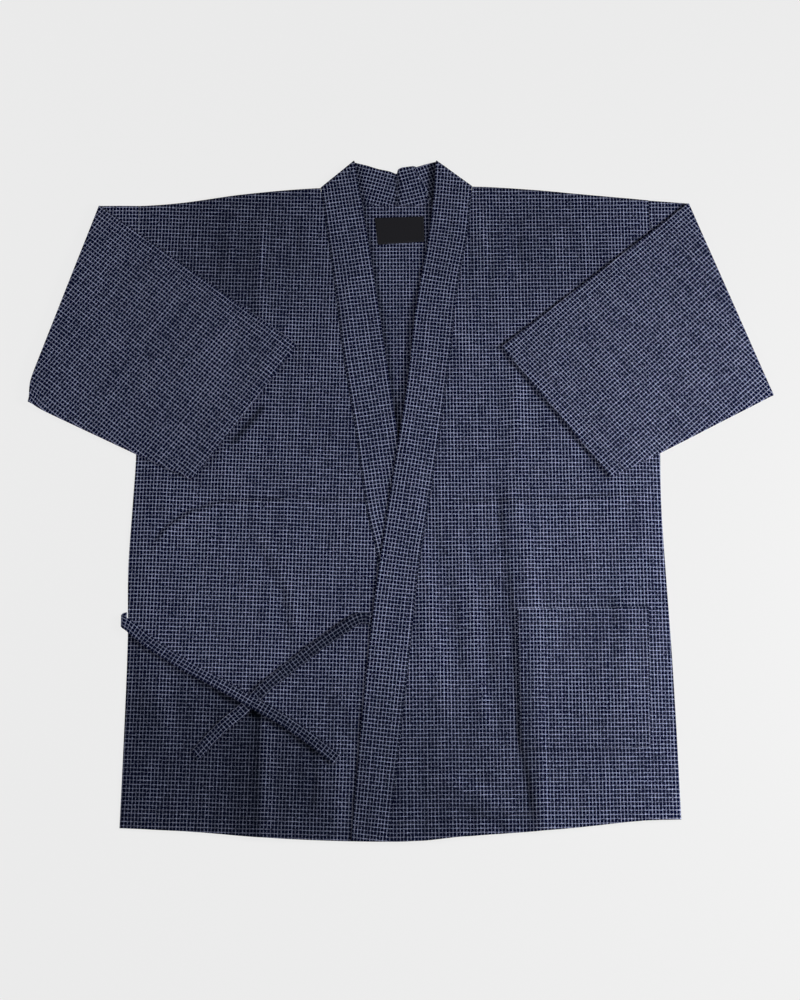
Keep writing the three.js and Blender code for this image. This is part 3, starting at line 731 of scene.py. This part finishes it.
def frontShade(x, y):  # painted highlight where the cloth is creased up, and painted shade in its troughs and low corners
    most = paintedShading["creaseMost"]
    shade = np.clip(-paintedShading["crease"] * creaseField(creases, x, y), -most, most)
    shade -= paintedShading["ripple"] * ripples(x, y)
    for spot in paintedShading["spots"]:
        (ax, ay), (rx, ry) = spot["at"], spot["reach"]
        shade += spot["depth"] * np.exp(-(((x - ax) / rx) ** 2) - ((y - ay) / ry) ** 2)
    return shade


def cornerShade(x, y):  # painted shade below the side tie, most of all outside the fold, and painted shadows under the tie's edge and the cuff
    path = ties["side_tie"]["path"]
    onFront = ties["side_tie"]["onFront"]
    under = np.interp(x, path["x"][onFront:], path["y"][onFront:]) - y
    below, outside, tieEdge, cuff = (paintedShading[part] for part in ("below", "outside", "tieEdge", "cuff"))
    away, share = besideLine(cuff["line"], x, y)[:2]
    return (
        below["depth"] * ramp(under, *below["under"]) * ramp(x, *below["across"])
        + outside["depth"] * ramp(x, *outside["across"]) * ramp(y, *outside["up"])
        + tieEdge["depth"] * ramp(under, *tieEdge["start"]) * ramp(under, *tieEdge["end"])
        * ramp(x, *tieEdge["across"])
        + cuff["depth"] * ramp(away, *cuff["away"]) * ramp(share * (1 - share), *cuff["ends"]))


def frontSheet(sideName, lines, shade):
    panel = frontPanels[sideName]
    name = f"{sideName}_front"
    x, y = panelPlan(lines, lambda x: yAt("hem", x), lambda x: yAt("shoulder", x), bodyRows)
    grain = turned(x, y, panel["grain"])
    sheet = clothSheet(name, (x, y, frontLie(sideName, x, y)), grain, cloth, "checked_cotton")
    # painted shade and painted highlight, from the shade it is given
    shadeSheet(sheet.data, shade)


def foldSides(sideName):
    fold, half = frontPanels[sideName]["fold"], frontPanels["foldHalf"]
    return [upright(fold - half), upright(fold + half)]


def rightFrontSheet():
    lines = [side("right", edgeSteps[-1]), *foldSides("right"), lambda y: xAt("rightSeam", y) - seamGap]
    lines = list(zip(lines, frontPanels["right"]["parts"]))
    lines = [(side("right", step), 1) for step in edgeSteps[:-1]] + lines
    frontSheet("right", lines, lambda x, y: frontShade(x, y) + cornerShade(x, y))


def leftFrontSheet():
    def overRight(y):
        return np.maximum(xAt("leftSeam", y) + frontPanels["overSeam"],
                          xAt("rightFree", y) + frontPanels["overFree"])

    lines = [lambda y: xAt("leftSeam", y) + seamGap, overRight, *foldSides("left")]
    lines = list(zip(lines, frontPanels["left"]["parts"]))
    lines += [(side("left", step), 1) for step in reversed(edgeSteps)]
    frontSheet("left", lines, frontShade)


collarRuns = {
    "right": {"rests": ["back"]}, "left": {"rests": ["back", "collar_right_run"]},
    "flat": (0.048, 0.840), "rounded": 0.7, "lean": 0.13, "grain": (1.2, 47.8), "parts": 16,
}
collarSteps = np.concatenate([
    evenly(0, 0.42, 76), evenly(0.424, 0.56, 32), evenly(0.566, 0.985, 76),
    [0.989, 0.992, 0.994, 0.9955, 0.997, 0.998, 0.999, 1],
])


def collarRunSheet(sideName):
    seamName, freeName = sideName + "Seam", sideName + "Free"
    seam, free = cut[seamName], cut[freeName]
    t = collarSteps[:, None]
    seamY = mix(yAt("hem", seam["x"][0]), seam["y"][-1], t)
    freeY = mix(yAt("hem", free["x"][0]), free["y"][-1], t)
    seamX, freeX = xAt(seamName, seamY), xAt(freeName, freeY)
    share = evenly(0, 1, collarRuns["parts"])[None, :]
    x = mix(seamX, freeX, share)
    y = mix(seamY, freeY, share)
    ax, ay, bx, by = seamX[-1, 0], seamY[-1, 0], freeX[-1, 0], freeY[-1, 0]
    inside = np.abs((bx - ax) * (y - ay) - (by - ay) * (x - ax)) / math.hypot(bx - ax, by - ay)
    near = np.clip(1 - inside / rollWidth, 0, 1)
    bed = bedOf[sideName](x, y)
    z = bed - (bed - band - gap) * near * near
    lean = (xAt(seamName, y + 5) - xAt(seamName, y - 5)) / 10   # the seam's slope over 10 mm
    across = x - xAt(seamName, y)
    wide = xAt(freeName, y) - xAt(seamName, y)
    first, last = collarRuns["grain"]
    grain = (mix(first, last, across / wide), y * math.hypot(1, collarRuns["lean"]) + across * lean)
    name = f"collar_{sideName}_run"
    sheet = clothSheet(name, (x, y, z), grain, band, "collar_cotton", facesUp=sideName == "right",
                       rounded=collarRuns["rounded"])
    # painted shade and painted highlight, as on the fronts
    shadeSheet(sheet.data, frontShade)


# the run behind the neck leans in a fold and a pleat, each with a start and an end for its slopes
backRun = {
    "flat": (0.164, 0.055), "area": 0.0070, "rounded": 0.6,
    "ends": (-92, 84), "columns": 82, "rows": 22, "middle": -6,
    "top": {"x": (-97, -56, -28, -12, -4.2, -2.6, 2, 17, 19, 44, 88),
            "y": (800, 835, 825.5, 822, 818.5, 824.5, 827, 829, 827.5, 836, 802)},
    "inset": 0.8, "slanting": (40, 52), "tip": 1.5, "overSeam": 2.2, "seamReach": (56, 50),
    "shown": (44, 34), "slack": 0.7, "rightSlack": 0.5, "rightEnd": -40,
    "fold": -3.5, "foldLean": 0.02, "valley": (0, 5), "foldSide": (-1, 3),
    "pleatTop": (17, 829), "pleatFoot": (36, 784), "rise": 1.1, "pleatSide": (1.2, -0.6),
    "onSeam": 0.35, "onSeamUp": (9, 3), "onSeamAcross": (61, 56.5),
    "turns": {"right": -15, "pleat": 14.25, "left": 22.5},
    # painted shade in the fold and painted shadow beside the collar runs
    "shade": {"most": 0.6, "fold": 0.5, "foldAt": -4, "foldReach": (6, 0), "bands": 0.45,
              "right": (10, 0), "left": (13, 2)},
}


# painted shade of the run behind the neck
def backRunShade(x, y):
    shade = backRun["shade"]
    bands = besideBand("right", x, y, shade["right"]) + besideBand("left", x, y, shade["left"])
    fold = shade["fold"] * ramp(np.abs(x - shade["foldAt"]), *shade["foldReach"])
    return np.minimum(shade["most"], fold + shade["bands"] * bands)


def collarBackSheet():
    x = np.repeat(evenly(*backRun["ends"], backRun["columns"])[None, :], backRun["rows"] + 1, 0)
    fromMiddle = np.abs(x - backRun["middle"])
    fromFold = x - backRun["fold"]
    low = yAt("neck", x) + gap - backRun["overSeam"] * ramp(fromMiddle, *backRun["seamReach"])
    top = np.interp(x, backRun["top"]["x"], backRun["top"]["y"])
    top = top - backRun["inset"] * ramp(fromMiddle, *backRun["slanting"])
    y = mix(low, np.maximum(top, low + backRun["tip"]), evenly(0, 1, backRun["rows"])[:, None])
    (px, py), (qx, qy) = backRun["pleatTop"], backRun["pleatFoot"]
    pastPleat = x - mix(px, qx, (y - py) / (qy - py))
    up = y - length
    valley = ramp(np.abs(fromFold - backRun["foldLean"] * up), *backRun["valley"])
    pleat = backRun["rise"] * ramp(pastPleat, *backRun["pleatSide"]) * ramp(fromFold, *backRun["foldSide"])
    rightOfFold = backRun["rightSlack"] * ramp(x, backRun["fold"], backRun["rightEnd"])
    z = ramp(fromMiddle, *backRun["shown"]) * valley * (backRun["slack"] + pleat + rightOfFold)
    onSeam = ramp(y - low, *backRun["onSeamUp"]) * ramp(fromMiddle, *backRun["onSeamAcross"])
    z = np.maximum(z, (cloth + gap + backRun["onSeam"]) * onSeam)
    turns = backRun["turns"]
    leftTurn = np.where(pastPleat > 0, turns["left"], turns["pleat"])
    grain = turned(fromFold, up, np.where(x < backRun["fold"], turns["right"], leftTurn))
    rounded = backRun["rounded"]
    sheet = clothSheet("collar_back_run", (x, y, z), grain, band, "collar_cotton", rounded=rounded)
    shadeSheet(sheet.data, backRunShade)


# each sleeve's top and under edges run from the armhole to the fold and on to the cuff
sleeveCut = {
    "right": {
        "top": ((-320, 777), (-369, 777), (-674, 780)), "under": ((-314, 498), (-453, 526), (-678, 571)),
        "pull": (7, -1), "seed": 21,
    },
    "left": {
        "top": ((305, 784), (354, 780), (651, 795)), "under": ((310, 498), (448, 533), (664, 587)),
        "pull": (0, 0), "seed": 34,
    },
    "radius": 1.7, "settle": 40, "flare": 0.7, "flareLength": 35, "pullReach": 18, "armholeReach": 30,
    "flat": (0.566, 0.360), "area": 0.174, "wrinkles": 0.9, "wrinkleSize": (44, 60),
    "toFold": evenly(0, 0.96, 18), "atFold": evenly(0, 1, 12), "over": 60, "turn": 7,
    "toCuff": np.concatenate([evenly(0.012, 0.97, 66), [0.985, 0.995, 1]]),
}
# ridges of the sleeves where they lie in plan, each like the creases above
sleeveCreases = {
    "right": [
        (0.5, 9, 6, ((-356, 740), (-330, 690), (-290, 640))),
        (0.4, 12, 8, ((-420, 640), (-360, 600), (-300, 575))),
        (0.45, 9, 7, ((-438, 560), (-380, 552), (-320, 520))),
        (0.35, 8, 8, ((-250, 640), (-222, 604), (-196, 590))),
        (0.35, 8, 6, ((-380, 520), (-330, 500), (-290, 462))),
    ],
    "left": [
        (0.5, 6, 9, ((342, 736), (310, 690), (270, 650))),
        (0.4, 8, 12, ((400, 650), (350, 606), (300, 590))),
        (0.45, 7, 9, ((428, 566), (370, 556), (318, 524))),
        (0.35, 8, 8, ((250, 650), (212, 622), (180, 606))),
        (0.35, 6, 8, ((350, 520), (306, 500), (276, 470))),
    ],
}


class SleeveShape:
    # a flattened tube, open at the armhole and the cuff, turned over along its diagonal fold
    def __init__(self, sideName):
        self.name = sideName
        self.cut = sleeveCut[sideName]
        self.top = [np.array(p, float) for p in self.cut["top"]]
        self.under = [np.array(p, float) for p in self.cut["under"]]
        run = self.under[1] - self.top[1]
        self.foldWay = run / np.hypot(*run)
        self.outward = np.array([self.foldWay[1], -self.foldWay[0]]) * inward[sideName]
        self.middle = cloth + gap / 2
        self.bendStart = -(sleeveCut["radius"] + self.middle)
        self.bendLength = math.pi * sleeveCut["radius"]

    def section(self, distance):  # the ends of a line beside the fold
        ends = []
        for armhole, fold, cuff in (self.top, self.under):
            way = (armhole if distance < 0 else cuff) - fold
            ends.append(fold + way * (distance / way.dot(self.outward)))
        return np.array(ends)

    def sections(self):
        armhole = np.array([self.top[0], self.under[0]])
        cuff = np.array([self.top[2], self.under[2]])
        bendIn = self.section(self.bendStart)
        bendOut = self.section(self.bendStart + self.bendLength)
        made = [mix(armhole, bendIn, t) for t in sleeveCut["toFold"]]
        made += [self.section(self.bendStart + self.bendLength * t) for t in sleeveCut["atFold"]]
        made += [mix(bendOut, cuff, t) for t in sleeveCut["toCuff"]]
        return made

    def carry(self, flat, lifted):  # a point of the flat sleeve, carried round the fold
        radius = sleeveCut["radius"]
        fromTop = flat - self.top[1]
        run = fromTop @ self.foldWay
        past = fromTop @ self.outward - self.bendStart
        angle = np.clip(past / radius, 0, math.pi)
        beyond = np.maximum(0, past - self.bendLength)
        out = np.minimum(past, 0) + (radius - lifted) * np.sin(angle) - beyond
        settle = (2 * radius - 2 * self.middle - layerGap) * ramp(beyond, 0, sleeveCut["settle"])
        z = self.middle + radius - (radius - lifted) * np.cos(angle) - settle
        plan = self.top[1] + run[..., None] * self.foldWay
        plan = plan + (self.bendStart + out)[..., None] * self.outward
        reach = np.hypot(*np.moveaxis(plan - self.under[1], -1, 0)) / sleeveCut["pullReach"]
        pull = np.exp(-(reach**2))
        x = plan[..., 0] + self.cut["pull"][0] * pull
        y = plan[..., 1] + self.cut["pull"][1] * pull
        return x, y, z, beyond

    def place(self, flat, lifted, flare):
        x, y, z, beyond = self.carry(flat, lifted)
        onBody = ramp(beyond, 0, sleeveCut["settle"])
        wrinkles = (1 + hills(x, y, sleeveCut["wrinkleSize"], self.cut["seed"])) / 2
        loose = sleeveCut["wrinkles"] * wrinkles + creaseField(sleeveCreases[self.name], x, y)
        fromArmhole = (np.abs(x) - np.abs(self.top[0][0])) * np.where(beyond > 0, 0, 1)
        loose = loose * np.where(beyond > 0, 1, ramp(fromArmhole, 0, sleeveCut["armholeReach"]))
        z = z + onBody * (flare + foldHeight(x, y) + lift(x, y)) + loose
        return x, y, z

    def flare(self, ends):
        toCuff = (np.hypot(*(ends[0] - self.top[2])) + np.hypot(*(ends[1] - self.under[2]))) / 2
        return sleeveCut["flare"] * float(ramp(toCuff, sleeveCut["flareLength"], 0))


def sleeveSheet(sideName):
    shape = SleeveShape(sideName)
    turn = evenly(0, math.pi, sleeveCut["turn"])[1:-1]
    columns = []
    for n, ends in enumerate(shape.sections()):
        width = np.hypot(*(ends[1] - ends[0]))
        flare = shape.flare(ends)
        half = gap / 2 + flare + cloth
        over = evenly(half, width - half, sleeveCut["over"])
        fromTop = np.concatenate([over, width - half + half * np.sin(turn), over[::-1],
                                  half - half * np.sin(turn), over[:1]])
        lifted = np.concatenate([np.full(len(over), half), half * np.cos(turn), np.full(len(over), -half),
                                 -half * np.cos(turn), [half]])
        flat = ends[0] + (fromTop / width)[:, None] * (ends[1] - ends[0])
        x, y, z = shape.place(flat, lifted, flare)
        if n == 0:
            x = xAt(sideName + "Side", y) - gap * inward[sideName]
        columns.append((x, y, z, flat[:, 0], flat[:, 1]))
    x, y, z, u, v = (np.stack(part, 1) for part in zip(*columns))
    name = f"{sideName}_sleeve"
    sheet = clothSheet(name, (x, y, z), (u, v), cloth, "checked_cotton", facesUp=sideName == "right",
                       tube=True, outward=False)


def patchSpots(patch, s, t):  # shares s across and t up a patch, between its four corners
    (ax, ay), (bx, by) = patch["low"]
    (cx, cy), (dx, dy) = patch["high"]
    return mix(mix(ax, bx, s), mix(cx, dx, s), t), mix(mix(ay, by, s), mix(cy, dy, s), t)


def patchPlan(patch):
    s, t = np.meshgrid(evenly(0, 1, patch["columns"]), evenly(0, 1, patch["rows"]))
    return *patchSpots(patch, s, t), s, t


def pocketBed(x, y):
    return frontLie("left", x, y) + cloth + pocket["under"]


def pocketSheet():
    x, y, s, t = patchPlan(pocket)
    wide = pocket["low"][1][0] - pocket["low"][0][0]
    tall = pocket["high"][0][1] - pocket["low"][0][1]
    seam, mouth, soft = pocket["seam"], pocket["mouth"], pocket["soft"]
    fromEdge = np.minimum(np.minimum(s, 1 - s) * wide, t * tall)
    turnedIn = np.maximum(ramp(fromEdge, seam + soft, seam - soft),
                          ramp((1 - t) * tall, mouth + soft, mouth - soft))
    z = pocketBed(x, y) + pocket["rise"] * turnedIn
    right, up = pocket["grain"]
    sheet = clothSheet("pocket", (x, y, z), (x + right, y + up), pocket["wall"], "checked_cotton")
    # painted shade and painted highlight, as on the fronts
    shadeSheet(sheet.data, frontShade)


label = {
    "low": ((-27, 726), (30, 730)), "high": ((-31, 761), (29, 763)), "columns": 26, "rows": 18,
    "wall": 0.6, "curl": 0.3, "grain": 4, "flat": (0.061, 0.037),
}


def labelBed(x, y):
    return cloth + gap + backRelief(x, y)


def labelSheet():
    x, y, s, t = patchPlan(label)
    corners = np.abs(2 * s - 1) ** 4 * (2 * t - 1) ** 4   # 1 at the label's corners, which curl up
    place = (x, y, labelBed(x, y) + label["curl"] * corners)
    sheet = clothSheet("neck_label", place, turned(x, y, label["grain"]), label["wall"], "label_weave")


tieStrip = {
    "width": 14, "wall": 1.5, "step": 2.2, "turn": 6, "across": 10, "backGrain": 6,
    "pucker": 0.25, "puckerWave": 4.1, "puckerDrift": 17, "puckerStart": (20, 40), "puckerRise": 0.6,
}
# each tie's path, its height over the front, and the way its width points, in degrees from x
ties = {
    "side_tie": {
        "path": {
            "x": (-319.2, -321.4, -323.4, -324.6, -325.1, -324.6, -323.4, -319, -311, -293, -254, -215, -190,
                  -172, -154, -130, -100, -72),
            "y": (261, 260.5, 260, 259, 257.5, 256.5, 255.5, 253, 247, 232, 207, 185.5, 171.5, 161, 151, 137,
                  116, 94),
            "over": (-2.1, -2.1, -2.1, -1.7, -0.75, 0.35, 0.85, 0.95, 0.6, 0.25, 0.2, 0.9, 2.9, 3.3, 2.9,
                     0.9, 0.25, 0.15),
            "across": (90, 90, 90, 90, 90, 88, 84, 74, 62, 54, 57, 60, 60, 60, 60, 58, 55, 52),
        },
        "onFront": 7,   # the path's first point that lies on the front
        "close": (22, 0.6), "flat": (0.014, 0.300), "rests": ["right_front", "front_tie"],
        # painted shade along the tie: its depth at each x
        "shade": {"x": (-330, -200, -150, -60), "depth": (0.0, 0.1, 0.42, 0.42)},
    },
    "front_tie": {
        "path": {
            "x": (-34.6, -40, -50, -69, -93, -121, -144, -160, -184, -205, -235),
            "y": (259, 260, 258, 246, 229, 207, 188, 173, 149.5, 131.5, 99),
            "over": (0.4, 1.1, 1.5, 0.9, 0.3, 0.45, 1.15, 1.45, 0.6, 0.25, 0.15),
            "across": (84, 90, 112, 122, 126, 128, 130, 132, 132, 132, 131),
        },
        "close": (12, 0.8), "flat": (0.014, 0.265), "rests": ["right_front"],
        # painted shade along the tie: its depth at each x
        "shade": {"x": (-240, -180, -130, -30), "depth": (0.42, 0.36, 0.5, 0.55)},
    },
}


def tieSheet(name):
    tie = ties[name]
    path = {column: np.array(values, float) for column, values in tie["path"].items()}
    path["at"] = np.concatenate([[0], np.cumsum(np.hypot(
        np.hypot(np.diff(path["x"]), np.diff(path["y"])), np.diff(path["over"])))])
    total = path["at"][-1]
    close = np.arange(0, *tie["close"])
    at = np.concatenate([close, evenly(close[-1] + 1, total, int(total / tieStrip["step"]))])
    x, y, over, across = (along(path, "at", at, column) for column in ("x", "y", "over", "across"))
    thick = tieStrip["wall"] / 2
    z = 2 * cloth + 2 * gap + thick + over + foldHeight(x, y) + lift(x, y)
    spots = np.stack([x, y, z], 1)
    way = np.gradient(spots, axis=0)
    way /= np.linalg.norm(way, axis=1)[:, None]
    turn = np.radians(across)
    width = np.stack([np.cos(turn), np.sin(turn), 0 * turn], 1)
    up = np.cross(way, width)
    up /= np.linalg.norm(up, axis=1)[:, None]
    half = tieStrip["width"] / 2
    bow = evenly(0, math.pi, tieStrip["turn"])
    level = evenly(-half + thick, half - thick, tieStrip["across"])[1:-1]
    w = np.concatenate([half - thick + thick * np.sin(bow), level[::-1],
                        -half + thick - thick * np.sin(bow), level, [half - thick]])
    h = np.concatenate([-thick * np.cos(bow), np.full(len(level), thick), thick * np.cos(bow),
                        np.full(len(level), -thick), [-thick]])
    wave = np.sin(at / tieStrip["puckerWave"] + 2 * np.sin(at / tieStrip["puckerDrift"]))
    pucker = tieStrip["pucker"] * wave[None, :] * (w / half)[:, None] ** 2
    pucker = pucker * ramp(at, *tieStrip["puckerStart"]) * tieStrip["puckerRise"]
    points = spots[None] + w[:, None, None] * width[None] + (h[:, None] + pucker)[..., None] * up[None]
    grain = np.broadcast_arrays((w + np.where(h > 0, 0, tieStrip["backGrain"]))[:, None], at[None, :])
    sheet = clothSheet(name, tuple(np.moveaxis(points, 2, 0)), grain, 0, "tie_cotton", tube=True)
    bpy.ops.object.mode_set(mode="EDIT")
    bpy.ops.mesh.select_all(action="SELECT")
    bpy.ops.mesh.normals_make_consistent(inside=False)
    bpy.ops.object.mode_set(mode="OBJECT")
    # painted shade along each tie
    shadeSheet(sheet.data, lambda x, y: np.interp(x, tie["shade"]["x"], tie["shade"]["depth"]))


backSheet()
rightFrontSheet()
leftFrontSheet()
collarRunSheet("right")
collarBackSheet()
collarRunSheet("left")
sleeveSheet("right")
sleeveSheet("left")
pocketSheet()
labelSheet()
for tieName in ties:
    tieSheet(tieName)
print("cloth laid")

sewing = {
    "pitch": 3.1, "length": 2.5, "thick": 0.42, "sunk": 0.05, "lineParts": 30,
    "pocketInset": 2.2, "pocketSize": (150, 166), "mouthIn": 2, "labelInset": 1.6, "labelSize": (58, 35),
    "hem": {"right": (-314, 4), "left": (-6, 315)}, "hemUp": 21, "hemParts": 120,
    "cuffIn": 20, "cuffParts": 80, "collar": (12, 788), "collarParts": 260, "seamIn": 1.8,
}


def stitchesAlong(name, paths):
    # paths hold points on the cloth, and each stitch is a copy of one small sphere, drawn out
    bpy.ops.object.select_all(action="DESELECT")
    bpy.ops.mesh.primitive_uv_sphere_add(segments=6, ring_count=5, radius=0.5)
    pattern = bpy.context.object
    shape = np.array([vertex.co for vertex in pattern.data.vertices])
    faces = [list(face.vertices) for face in pattern.data.polygons]
    size = np.array([sewing["length"], sewing["thick"], sewing["thick"]])
    spots, allFaces = [], []
    for path in paths:
        run = np.concatenate([[0], np.cumsum(np.linalg.norm(np.diff(path, axis=0), axis=1))])
        middles = np.arange(sewing["pitch"] / 2, run[-1], sewing["pitch"])
        for middle in middles:
            at, before, after = (
                np.array([np.interp(place, run, path[:, axis]) for axis in range(3)])
                for place in (middle, middle - 1, middle + 1))
            forward = (after - before) / np.linalg.norm(after - before)
            aside = np.cross((0, 0, 1), forward)
            aside /= np.linalg.norm(aside)
            axes = np.array([forward, aside, np.cross(forward, aside)])
            first = len(spots) * len(shape)
            spots.append((shape * size) @ axes + at + (0, 0, sewing["thick"] / 2 - sewing["sunk"]))
            allFaces += [[first + point for point in face] for face in faces]
    mesh = bpy.data.meshes.new(name)
    mesh.from_pydata((np.concatenate(spots) + shift) / 1000, [], allFaces)
    mesh.materials.append(navyThread)
    mesh.shade_smooth()
    bpy.data.objects.remove(pattern)
    piece = bpy.data.objects.new(name, mesh)
    bpy.context.collection.objects.link(piece)
    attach(piece, "root")
    print(name, len(allFaces), "faces")


def onCloth(x, y, surface):
    return np.stack([x, y, surface(x, y)], 1)


def patchLine(patch, corners, surface):  # a line on a patch through shares of its sides
    spots = np.array(corners, float)
    parts = evenly(0, 1, sewing["lineParts"])[:, None]
    s, t = np.concatenate([mix(a, b, parts) for a, b in zip(spots[:-1], spots[1:])]).T
    return onCloth(*patchSpots(patch, s, t), surface)


def pocketTop(x, y):
    return pocketBed(x, y) + pocket["rise"] + pocket["wall"]


def labelTop(x, y):
    return labelBed(x, y) + label["wall"]


def pocketPaths():  # down, across and up again, and one line below the mouth
    wide, tall = sewing["pocketSize"]
    inset = sewing["pocketInset"] / wide
    mouth = 1 - (pocket["mouth"] - sewing["mouthIn"]) / tall
    sides = ((inset, 1 - inset), (inset, inset), (1 - inset, inset), (1 - inset, 1 - inset))
    return [patchLine(pocket, line, pocketTop) for line in (sides, ((inset, mouth), (1 - inset, mouth)))]


def labelPath():  # all round
    wide, tall = sewing["labelSize"]
    s, t = sewing["labelInset"] / wide, sewing["labelInset"] / tall
    return patchLine(label, ((s, t), (1 - s, t), (1 - s, 1 - t), (s, 1 - t), (s, t)), labelTop)


def hemPath(sideName):
    x = evenly(*sewing["hem"][sideName], sewing["hemParts"])
    return onCloth(x, yAt("hem", x) + sewing["hemUp"], lambda x, y: frontLie(sideName, x, y) + cloth)


def cuffPath(sideName):
    shape = SleeveShape(sideName)
    last = shape.sections()[-1]
    bendOut = shape.section(shape.bendStart + shape.bendLength)
    far = np.hypot(*(last - bendOut).mean(0))
    ends = mix(last, bendOut, sewing["cuffIn"] / far)
    flare = shape.flare(ends)
    half = gap / 2 + flare + cloth
    width = np.hypot(*(ends[1] - ends[0]))
    shares = evenly(half, width - half, sewing["cuffParts"])[:, None] / width
    flat = ends[0] + shares * (ends[1] - ends[0])
    return np.stack(shape.place(flat, np.full(len(flat), -half), flare), 1)


def collarPath(sideName):
    y = evenly(*sewing["collar"], sewing["collarParts"])
    x = xAt(sideName + "Seam", y) + inward[sideName] * sewing["seamIn"]
    return onCloth(x, y, lambda x, y: bedOf[sideName](x, y) + band)


stitchesAlong("pocket_stitches", pocketPaths())
stitchesAlong("label_stitches", [labelPath()])
for place, pathOf in (("hem", hemPath), ("cuff", cuffPath), ("collar", collarPath)):
    stitchesAlong(place + "_stitches", [pathOf("right"), pathOf("left")])
print("seams sewn")

# in metres and watts
studio = {"floorSize": 60, "floorDown": 0.0006, "floorTone": 0.07, "floorGlow": 0.79, "world": 0.04}
white = (1, 1, 1)
bpy.ops.mesh.primitive_plane_add(size=studio["floorSize"], location=(0, 0, -studio["floorDown"]))
floor = bpy.context.object
floor.name = "floor"
floorFinish = newFinish("pale floor", {
    "Base Color": opaque(white, studio["floorTone"]), "Roughness": 1, "Specular IOR Level": 0,
    "Emission Color": opaque(white), "Emission Strength": studio["floorGlow"]})[0]
floor.data.materials.append(floorFinish)

lights = [
    {"name": "right", "at": (1.25, -0.08, 0.62), "aim": (0.2, -0.3, 0), "size": 0.3, "power": 18},
    {"name": "left", "at": (-1.35, 0.3, 0.8), "aim": (-0.2, 0, 0), "size": 0.3, "power": 6},
    {"name": "foot", "at": (0.55, -1.15, 1.5), "aim": (0.1, 0.05, 0), "size": 0.6, "power": 11},
]
for lamp in lights:
    bpy.ops.object.light_add(type="AREA", location=lamp["at"])
    light = bpy.context.object
    light.name = lamp["name"]
    light.data.size = lamp["size"]
    light.data.energy = lamp["power"]
    aim = Vector(lamp["aim"]) - light.location
    light.rotation_euler = aim.to_track_quat("-Z", "Y").to_euler()
world = bpy.data.worlds.new("studio")
world.use_nodes = True
background = world.node_tree.nodes["Background"]
background.inputs["Color"].default_value = opaque(white)
background.inputs["Strength"].default_value = studio["world"]
bpy.context.scene.world = world
bpy.context.scene.view_settings.view_transform = "Standard"
print("studio lit")
